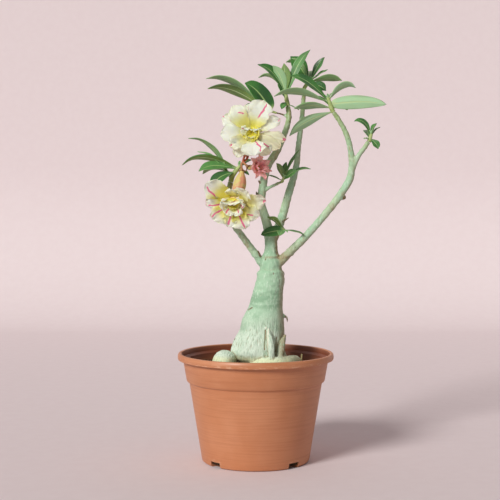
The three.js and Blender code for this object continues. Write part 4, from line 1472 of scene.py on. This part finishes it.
PEDUNCLE: list[Spot] = [(-14.6, -21.6, 342.4), (-14.2, -22.4, 345)]

PEDICELS: list[list[Spot]] = [
    [(-14.3, -22.2, 344.5), (-13.8, -24, 347.5), (-12.9, -25.8, 350)],
    [(-14.5, -22, 343.6), (-13, -25, 342.2), (-10.4, -27, 339.6)],
    [(-14.7, -22, 343), (-16.2, -26.4, 341), (-16, -28.4, 336.5)]]

FLOWER_BUD: list[Stop] = [
    (-14.3, -22.2, 344.5, 1), (-10.8, -21.6, 346.5, 1.1), (-9.3, -21.4, 350, 1.5), (-9, -21.4, 354, 0.6)]


@dataclass
class FlowerStalks:
    """The peduncle, its three pedicels with their calyces, and one small bud."""

    radius: float = 1.25
    calyx_length: float = 3.6
    calyx_radius: float = 2.1
    sepal_count: int = 5
    sepal_thick: float = 0.6

    def even(self, spots: Sequence[Sequence[float]], share: float) -> list[Stop]:
        """Stops of one thickness, as a share of a pedicel's."""
        return [(*spot, self.radius * share) for spot in spots]

    def calyx_end(self, index: int, beyond: float) -> Vector:
        """A point beyond the end of a pedicel, in millimetres."""
        spot, run, _ = Route(self.even(PEDICELS[index], 1.0)).at(1)
        return spot / MM + run * beyond

    def build(self, pattern: Piece) -> Piece:
        """Models stalks, calyces, sepals and the bud.

        Args:
            pattern: The flat sheet that sepals are copied from.

        Returns:
            The stalks as one piece.
        """
        low, high = map(Vector, PEDUNCLE)
        foot = low + (high - low).normalized() * GAP
        parts = [limb("peduncle", Route(self.even([foot, PEDUNCLE[1]], 1.3)), 14, 4),
                 limb("flower_bud", Route(FLOWER_BUD), 12, 14)]
        sepals = []
        for index, pedicel in enumerate(PEDICELS):
            parts.append(limb(f"pedicel_{index}", Route(self.even(pedicel, 1.0)), 12, 10))
            parts.append(self.calyx(index))
            sepals += self.sepals(index, pattern)
        ruff = thickened(dressed(joined("sepals", sepals)), self.sepal_thick, faces=1)
        return joined("flower_stalks", [*map(smooth, parts), ruff])

    def calyx(self, index: int) -> Piece:
        """The cup at the end of one pedicel."""
        ends = [self.calyx_end(index, share * self.calyx_length) for share in (0, 0.25, 0.6, 1)]
        radii = [self.radius, self.calyx_radius * 0.9, self.calyx_radius, self.calyx_radius * 0.92]
        return limb(f"calyx_{index}", Route([(*e, r) for e, r in zip(ends, radii)]), 14, 9, domed=False)

    def sepals(self, index: int, pattern: Piece) -> list[Piece]:
        """Five short sepals that flare from a calyx."""
        base, far = self.calyx_end(index, 0.5 * self.calyx_length), self.calyx_end(index, self.calyx_length)
        run = (far - base).normalized()
        across = run.cross(UP if abs(run.z) < 0.9 else Vector((1, 0, 0))).normalized()
        made = []
        for k in range(self.sepal_count):
            radial = Matrix.Rotation(tau * k / self.sepal_count, 3, run) @ across
            blade = Blade(base=(base + radial * self.calyx_radius * 0.75) * MM, out=(radial * 1.1 + run).normalized(),
                          up=run, length=4.4, width=2.3, bend=14, outline=pointed_outline, rows=3, fold=0.3)
            made.append(blade.lay(pattern, f"sepal_{index}_{k}"))
        return made


@dataclass(frozen=True)
class Petal:
    """One petal: its angle round the throat, lift to the front, size, bend, tints and painted streak.

    Sink is how far it starts behind the mouth, and ring where it starts, as a share of the throat.
    The streak, half as wide as thick says, runs from its foot (place along, place across) to its
    tip, with places from 0 to 1 along and from -1 to 1 across. Painted shade is how far the petal takes its shade
    tint, standing in for the shade it lies in.
    """

    angle: float
    lift: float
    length: float
    width: float
    bend: float
    sink: float = 1.0
    ring: float = 1.0
    blush: float = 0.3
    gold: float = 0.0
    faded: float = 0.0
    ruffle: float = 1.0
    thick: float = 0.05
    streak: Stop | None = None
    roll: float = 0.0


NO_STREAK: Stop = (2.0, 0.0, 3.0, 0.0)  # beyond the petal's tip


@dataclass
class DoubleBloom:
    """A double bloom: a hollow tube that opens into the throat, ringed by ruffled petals."""

    name: str
    facing: Spot
    calyx: int
    first_radius: float
    tube: list[Stop]
    rows: list[tuple]
    throat: float
    outline: Callable[[float], float]
    seed: int
    is_pink: bool = False
    thick: float = 0.45
    tube_sides: int = 40
    bore_rings: int = 2
    anther_count: int = 8

    def around(self, turn: float) -> tuple[Vector, Vector, Vector]:
        """The mouth in millimetres, the throat's axis, and the direction out from it at a turn."""
        axis = Vector(self.facing).normalized()
        right = UP.cross(axis).normalized()
        return Vector(self.tube[-1][:3]), axis, right * cos(turn) + axis.cross(right) * sin(turn)

    def build(self, stalks: FlowerStalks, pattern: Piece, faces: Sequence[Material], tube_skin: Material) -> Piece:
        """Models the tube and every petal as one piece.

        Args:
            stalks: The stalks that carry the bloom.
            pattern: The flat petal sheet to copy.
            faces: The materials of a petal's face and back.
            tube_skin: The tube's material.

        Returns:
            The bloom.
        """
        draw = random.Random(self.seed)
        blades = []
        for k, petal in enumerate(Petal(*row) for row in self.rows):
            mouth, axis, radial = self.around(radians(petal.angle))
            lift = radians(petal.lift)
            blade = Blade(
                base=(mouth + radial * self.throat * petal.ring - axis * petal.sink) * MM,
                out=radial * cos(lift) + axis * sin(lift), up=axis, length=petal.length,
                width=petal.width, bend=petal.bend, outline=self.outline, rows=5,
                roll=petal.roll, fold=0.14, ruffle=petal.ruffle * draw.uniform(1.0, 1.7),
                waves=draw.uniform(1.8, 3.2), phase=draw.uniform(0, 6), uneven=0.35, rounding=0.06)
            piece = blade.lay(pattern, f"{self.name}_petal_{k}")
            begin, foot, end, tip = petal.streak or NO_STREAK
            mark(piece, streak_begin=begin, streak_end=end, streak_foot=0.5 + foot / 2, streak_tip=0.5 + tip / 2,
                 streak_half=petal.thick, blush=petal.blush, gold=petal.gold, faded=petal.faded)
            blades.append(piece)
        corolla = thickened(dressed(joined(self.name + "_corolla", blades), *faces), self.thick)
        throat = joined(self.name + "_throat", [self.model_tube(stalks), *self.anthers(draw)])
        return joined(self.name, [corolla, dressed(throat, tube_skin)])

    def anthers(self, draw: random.Random) -> list[Piece]:
        """Slender anthers that lean together in the throat."""
        made = []
        for k in range(self.anther_count):
            mouth, axis, radial = self.around(tau * k / self.anther_count)
            foot = mouth + radial * self.throat * 0.55 - axis * self.throat * 0.9
            tip = mouth + radial * self.throat * draw.uniform(0.05, 0.3) + axis * draw.uniform(0.5, 3)
            bow = (foot + tip) / 2 + radial * 0.6
            thread = limb(f"{self.name}_anther_{k}", Route([(*foot, 1.1), (*bow, 0.8), (*tip, 0.35)]), 8, 8)
            mark(thread, inner=1.0)
            made.append(smooth(thread))
        return made

    def model_tube(self, stalks: FlowerStalks) -> Piece:
        """The tube: up its outside to the lip, and down its inside."""
        seat = stalks.calyx_length + GAP
        first, second = stalks.calyx_end(self.calyx, seat), stalks.calyx_end(self.calyx, seat + 1.2)
        stops = [(*first, self.first_radius), (*second, self.first_radius + 0.2), *self.tube]
        route = Route(stops)
        rings = 5 * len(stops)
        spot, run, radius = route.at(0)
        tower = RingTower(self.name + "_tube", spot, radius, self.tube_sides, run)
        spot, run, radius = tower.follow(route, rings)
        tower.raise_to(spot + run * 0.4 * MM, radius - 0.5 * MM)
        for k in range(1, self.bore_rings + 1):
            spot, run, radius = route.at(1 - 0.4 * k / rings)
            tower.raise_to(spot, (radius - 1.0 * MM) * (1 - 0.35 * k / self.bore_rings), run)
        tube = tower.done()
        count = len(tube.data.vertices)
        mark(tube, inner=np.arange(count) >= count - self.tube_sides * (self.bore_rings + 1))
        self.wrap(tube)
        return smooth(tube)

    def wrap(self, tube: Piece) -> None:
        """Writes the tube's own map: across is the turn round it, along is the ring."""
        layer = tube.data.uv_layers.get("UVMap") or tube.data.uv_layers.new(name="UVMap")
        sides, count = self.tube_sides, len(tube.data.vertices)
        for loop in tube.data.loops:
            place = loop.vertex_index
            layer.data[loop.index].uv = ((place % sides) / sides, place / sides / (count / sides))


# The petals of each bloom, as the values of Petal.
UPPER_PETALS = [
    (69, 22, 34, 27, 42, 0.8, 1, 0.5, 0.14, 0, 1, 0.06, (0.38, 0.06, 0.95, 0.46)),
    (126, 26, 33, 22, 50, 1.6, 1, 0.3, 0.34, 0.25, 1, 0.06, (0.55, 0.5, 0.7, 0.1)),
    (150, 14, 33, 19, 30, 2.4, 1, 0.5, 0, 0, 1, 0.06, (0.93, 0.1, 1, 0.2)),
    (184, 24, 30, 21, 40, 0.8, 1, 0.2, 0.05, 0, 1, 0.06, (0.3, -0.1, 0.66, -0.75)),
    (214, 34, 25, 17, 60, 1.6, 1, 0.5, 0.3, 0.55, 1, 0.1, (0.84, 0.1, 1, 0)),
    (236, 8, 26, 15, 40, 0.8, 1, 0.5, 0.1, 0.4),
    (279, 34, 24, 25, 40, 0.2, 1, 0.1, 0, 0, 1, 0.055, (0.18, -0.3, 0.9, -0.75)),
    (334, 8, 31, 15, 70, 0.8, 1, 0.4, 0, 0.95, 1, 0.08, (0.3, 0.6, 0.62, 0.72), 25),
    (352, 4, 34, 12, 60, 1.6, 1, 0.5, 0, 0.8, 1, 0.2, (0.86, 0.1, 1, 0.1)),
    (28, 14, 31, 15, 60, 1.6, 1, 0.5, 0, 0.2, 1, 0.08, (0.86, 0.3, 1, 0.2)),
    (100, 4, 29, 20, 30, 0.8, 1, 0.9, 0.1, 0, 1, 0.12, (0.72, 0.3, 0.98, 0.6)),
    (312, 2, 25, 17, 40, 1.6, 1, 0.3, 0, 0.6), (84, 98, 8, 23, 16, 0.2, 0.8, 0, -0.1, 0, 1.4),
    (62, 84, 6, 13, 16, 0, 0.4, 0, 0.5), (150, 52, 8, 11, 20, 0.4, 0.12, 0, 0.7),
    (270, 50, 8, 12, 20, 0.4, 0.12, 0, 0.7), (30, 52, 8, 11, 20, 0.4, 0.12, 0, 0.9),
    (200, 54, 7, 13, 10, 0.4, 0.5, 0, 0.8), (290, 52, 6, 13, 10, 0.4, 0.5, 0, 0.8),
    (24, 58, 9, 11, 12, 0.6, 0.8, 0.1, 0.8, 0, 1.3),
    (164, 58, 12, 12, 24, 0.6, 0.8, 0.4, 0.05, 0, 1.3, 0.1, (0.2, 0.2, 0.9, 0.3)),
    (250, 58, 7, 14, 18, 0.4, 0.8, 0, 0.9, 0, 1.2), (318, 54, 8, 12, 14, 0.4, 0.8, 0, 1.2, 0, 1.2)]

LOWER_PETALS = [
    (134, 20, 34, 27, 26, 0.8, 1, 0.2, 0.4, 0, 1, 0.055, (0.42, -0.6, 0.9, -0.3)),
    (176, 20, 27, 17, 50, 1.6, 1, 0.5, 0.35, 0, 1, 0.07, (0.3, -0.3, 0.9, -0.6)),
    (218, 26, 27, 20, 56, 0.8, 1, 0.3, 0.42, 0.2, 1, 0.07, (0.3, 0.3, 0.95, 0.5)),
    (254, 30, 25, 17, 52, 1.6, 1, 0.3, 0.4, 0, 1, 0.1, (0.25, 0, 0.9, 0.1)),
    (290, 28, 28, 20, 56, 0.8, 1, 0.3, 0.4, 0, 1, 0.08, (0.2, 0, 0.95, -0.1)),
    (330, 20, 27, 19, 48, 1.6, 1, 0.5, 0.4, 0.3, 1, 0.07, (0.5, 0.5, 0.75, 0.2)),
    (4, 12, 31, 19, 44, 0.8, 1, 0.6, 0.4, 0.4, 1, 0.16, (0.88, 0.2, 1, 0.1)),
    (44, 34, 22, 20, 34, 1.6, 1, 0.2, 0.4, 0.4), (86, 36, 15, 17, 20, 1.6, 1, 0.1, 0.5, 0.4),
    (198, 2, 25, 14, 40, 0.8, 1, 0.6), (310, 4, 24, 16, 60, 2, 1, 0.6, 0, 0.7, 1, 0.2, (0.85, 0, 1, 0)),
    (20, 58, 15, 14, 24, 0.6, 0.8, 0.5, 0.2, 0, 1.5, 0.08, (0.3, 0.5, 0.9, 0.8)),
    (92, 108, 12, 26, 20, 0.2, 1, 0.4, 0.4, 0, 1.6, 0.05, (0.35, -0.9, 0.8, 0.2)),
    (200, 50, 9, 12, 20, 0.4, 0.15, 0.1, 0.8), (320, 50, 9, 12, 20, 0.4, 0.15, 0.1, 0.8),
    (120, 84, 9, 13, 10, 0.8, 0.5, 0.2, 0.9), (250, 82, 9, 13, 10, 0.8, 0.5, 0.2, 0.9),
    (164, 60, 15, 14, 24, 0.6, 0.8, 0.5, 0.1, 0, 1.5, 0.09, (0.3, 0.4, 0.8, 0.5)),
    (236, 58, 14, 13, 30, 0.6, 0.8, 0.4, 0.2, 0, 1.3, 0.1, (0.3, 0.2, 0.9, 0.3)),
    (300, 60, 14, 13, 30, 0.6, 0.8, 0.3, 0.3, 0, 1.3, 0.09, (0.2, -0.2, 0.8, -0.1))]

PINK_PETALS = [
    (92, 40, 16, 9, 30, 0.8), (140, 34, 15, 8, 36, 1.6), (190, 34, 14, 8, 36, 0.8), (238, 34, 15, 8, 34, 1.6),
    (286, 38, 16, 9, 30, 0.8), (336, 48, 16, 8, 26, 1.6), (30, 50, 16, 8, 26, 0.8),
    (60, 66, 14, 7, 14, 0.6, 0.8), (132, 62, 13, 7, 16, 0.6, 0.8), (204, 62, 13, 7, 14, 0.6, 0.8),
    (276, 66, 14, 7, 16, 0.6, 0.8), (348, 70, 14, 7, 14, 0.6, 0.8)]


def blooms() -> list[DoubleBloom]:
    """The three blooms."""
    return [
        DoubleBloom("bloom_upper", (-0.12, -0.97, 0.14), 0, 1.7, [
            (-11.6, -30, 360, 2.6), (-9, -35.5, 367.5, 4), (-5.8, -41.5, 372.6, 5.8), (-4.6, -46.5, 374.2, 7)],
            UPPER_PETALS, 5.6, petal_outline, 21),
        DoubleBloom("bloom_lower", (-0.19, -0.87, -0.45), 2, 2.4, [
            (-16.6, -30.4, 326.4, 5.4), (-18, -31.4, 319, 7.3), (-20, -34, 311, 7), (-22.4, -37.4, 303.6, 6.8),
            (-24.4, -41.8, 298.4, 7.4)],
            LOWER_PETALS, 6.2, petal_outline, 22),
        DoubleBloom("bloom_pink", (0.62, -0.76, 0.16), 1, 1.8, [
            (-4, -30.9, 338, 2.5), (-1, -32.8, 337.4, 3.2), (2, -34.6, 337, 3.6)],
            PINK_PETALS, 2.2, pointed_outline, 23, is_pink=True),
    ]


# ------------------------------------------------------------------------------ the studio


@dataclass
class Studio:
    """Camera, soft light, pale floor and wall."""

    eye: Spot = (-6.6, -1279, 292)
    lens: float = 79.92
    pitch: float = 2.17
    foot: float = 1.3
    sweep: float = 0.4
    reach: float = 5.0
    breadth: float = 9.0
    key_azimuth: float = 232
    key_rise: float = 29
    key_power: float = 2.7
    key_spread: float = 18
    key_tint: str = "fffefa"
    air: float = 0.31
    air_tint: str = "fbf3f2"
    bend_rings: int = 12
    wall: float = 2.2

    def build(self) -> None:
        """Sets the studio up."""
        self.camera()
        self.paper()
        self.key_lamp()
        world = bpy.data.worlds.new("studio air")
        world.use_nodes = True
        sky = world.node_tree.nodes["Background"]
        sky.inputs["Color"].default_value = paint(self.air_tint)
        sky.inputs["Strength"].default_value = self.air
        bpy.context.scene.world = world
        bpy.context.scene.view_settings.view_transform = "Standard"

    def camera(self) -> None:
        """The camera, level with the crown and tipped a little down."""
        clear_selection()
        bpy.ops.object.camera_add(location=Vector(self.eye) * MM, rotation=(radians(90 - self.pitch), 0, 0))
        camera = bpy.context.object
        camera.data.lens = self.lens
        camera.data.sensor_width = 36
        camera.data.clip_start = 0.01
        bpy.context.scene.camera = camera

    def paper(self) -> None:
        """A sheet that lies on the floor and curves up into the wall."""
        clear_selection()
        bpy.ops.mesh.primitive_plane_add(size=1, location=(0, self.foot - self.reach / 2, 0))
        paper = bpy.context.object
        paper.name = "studio_paper"
        bpy.ops.transform.resize(value=(self.breadth, self.reach, 1))
        bpy.ops.object.transform_apply(location=True, rotation=True, scale=True)
        bpy.ops.object.mode_set(mode="EDIT")
        bpy.ops.mesh.select_mode(type="EDGE")
        bpy.ops.mesh.select_all(action="DESELECT")
        mesh = bmesh.from_edit_mesh(paper.data)
        for edge in mesh.edges:
            edge.select_set(all(v.co.y > self.foot - 0.01 for v in edge.verts))
        bmesh.update_edit_mesh(paper.data)
        for k in range(self.bend_rings):
            angle = pi / 2 * (k + 0.5) / self.bend_rings
            step = self.sweep * pi / 2 / self.bend_rings
            bpy.ops.mesh.extrude_region_move(
                TRANSFORM_OT_translate={"value": (0, step * cos(angle), step * sin(angle))})
        bpy.ops.mesh.extrude_region_move(TRANSFORM_OT_translate={"value": (0, 0, self.wall)})
        bpy.ops.object.mode_set(mode="OBJECT")
        bpy.ops.object.shade_smooth()
        paper.data.materials.append(StudioPaper().material())

    def key_lamp(self) -> None:
        """One wide, soft lamp, up on the left in front."""
        clear_selection()
        spot = heading(self.key_azimuth, self.key_rise) * 4
        bpy.ops.object.light_add(type="SUN", location=spot, rotation=spot.to_track_quat("Z", "Y").to_euler())
        lamp = bpy.context.object
        lamp.name = "key"
        lamp.data.energy = self.key_power
        lamp.data.angle = radians(self.key_spread)
        lamp.data.color = paint(self.key_tint)[:3]


@dataclass
class Palette:
    """Every material of the plant, made once."""

    pot: Material = field(default_factory=PotPlastic().material)
    soil: Material = field(default_factory=PottingMix().material)
    straw: Material = field(default_factory=DryStraw().material)
    bark: Material = field(default_factory=LivingBark().material)
    shoot: Material = field(default_factory=ShootSkin().material)
    stalk: Material = field(default_factory=StalkSkin().material)
    tube: Material = field(default_factory=TubeSkin().material)
    leaf: list[Material] = field(default_factory=lambda: [face.material() for face in LEAF_FACES])
    cream: list[Material] = field(default_factory=lambda: [face.material() for face in CREAM_FACES])
    pink: list[Material] = field(default_factory=lambda: [face.material() for face in PINK_FACES])


def seat(node: str, piece: Piece, slot: MaterialSlot, *materials: Material) -> None:
    """Gives a finished piece its materials and body, and lets it stand for its node."""
    piece.name = f"{node}_fine"
    for material in materials:
        piece.data.materials.append(material)
    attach(piece, ROOT)
    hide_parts(node)
    LOG.info("%s: %d points, %d faces", piece.name, len(piece.data.vertices), len(piece.data.polygons))


def main() -> None:
    """Builds the studio and every piece."""
    logging.basicConfig(level=logging.INFO, format="%(message)s")
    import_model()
    palette = Palette()
    seat("pot", NurseryPot().build(), MaterialSlot.POT, palette.pot)
    seat("soil", PottingSoil().build(), MaterialSlot.SOIL, palette.soil)
    seat("straw_stick", StrawStick().build(), MaterialSlot.STRAW, palette.straw)
    seat("caudex", Caudex().build(), MaterialSlot.BARK, palette.bark)
    leaf = flat_sheet("leaf_pattern", 8, 20)
    sepal = flat_sheet("sepal_pattern", 4, 8)
    petal = flat_sheet("petal_pattern", 14, 18)
    for shoot in shoots():
        seat(shoot.name, shoot.build(leaf, palette), MaterialSlot.LEAF)
    stalks = FlowerStalks()
    seat("flower_stalks", stalks.build(sepal), MaterialSlot.STALK, palette.stalk)
    for bloom in blooms():
        slot, faces = (MaterialSlot.PINK, palette.pink) if bloom.is_pink else (MaterialSlot.CREAM, palette.cream)
        seat(bloom.name, bloom.build(stalks, petal, faces, palette.tube), slot)
    discard(leaf, sepal, petal)
    Studio().build()
    clear_selection()


if __name__ == "__main__":
    main()
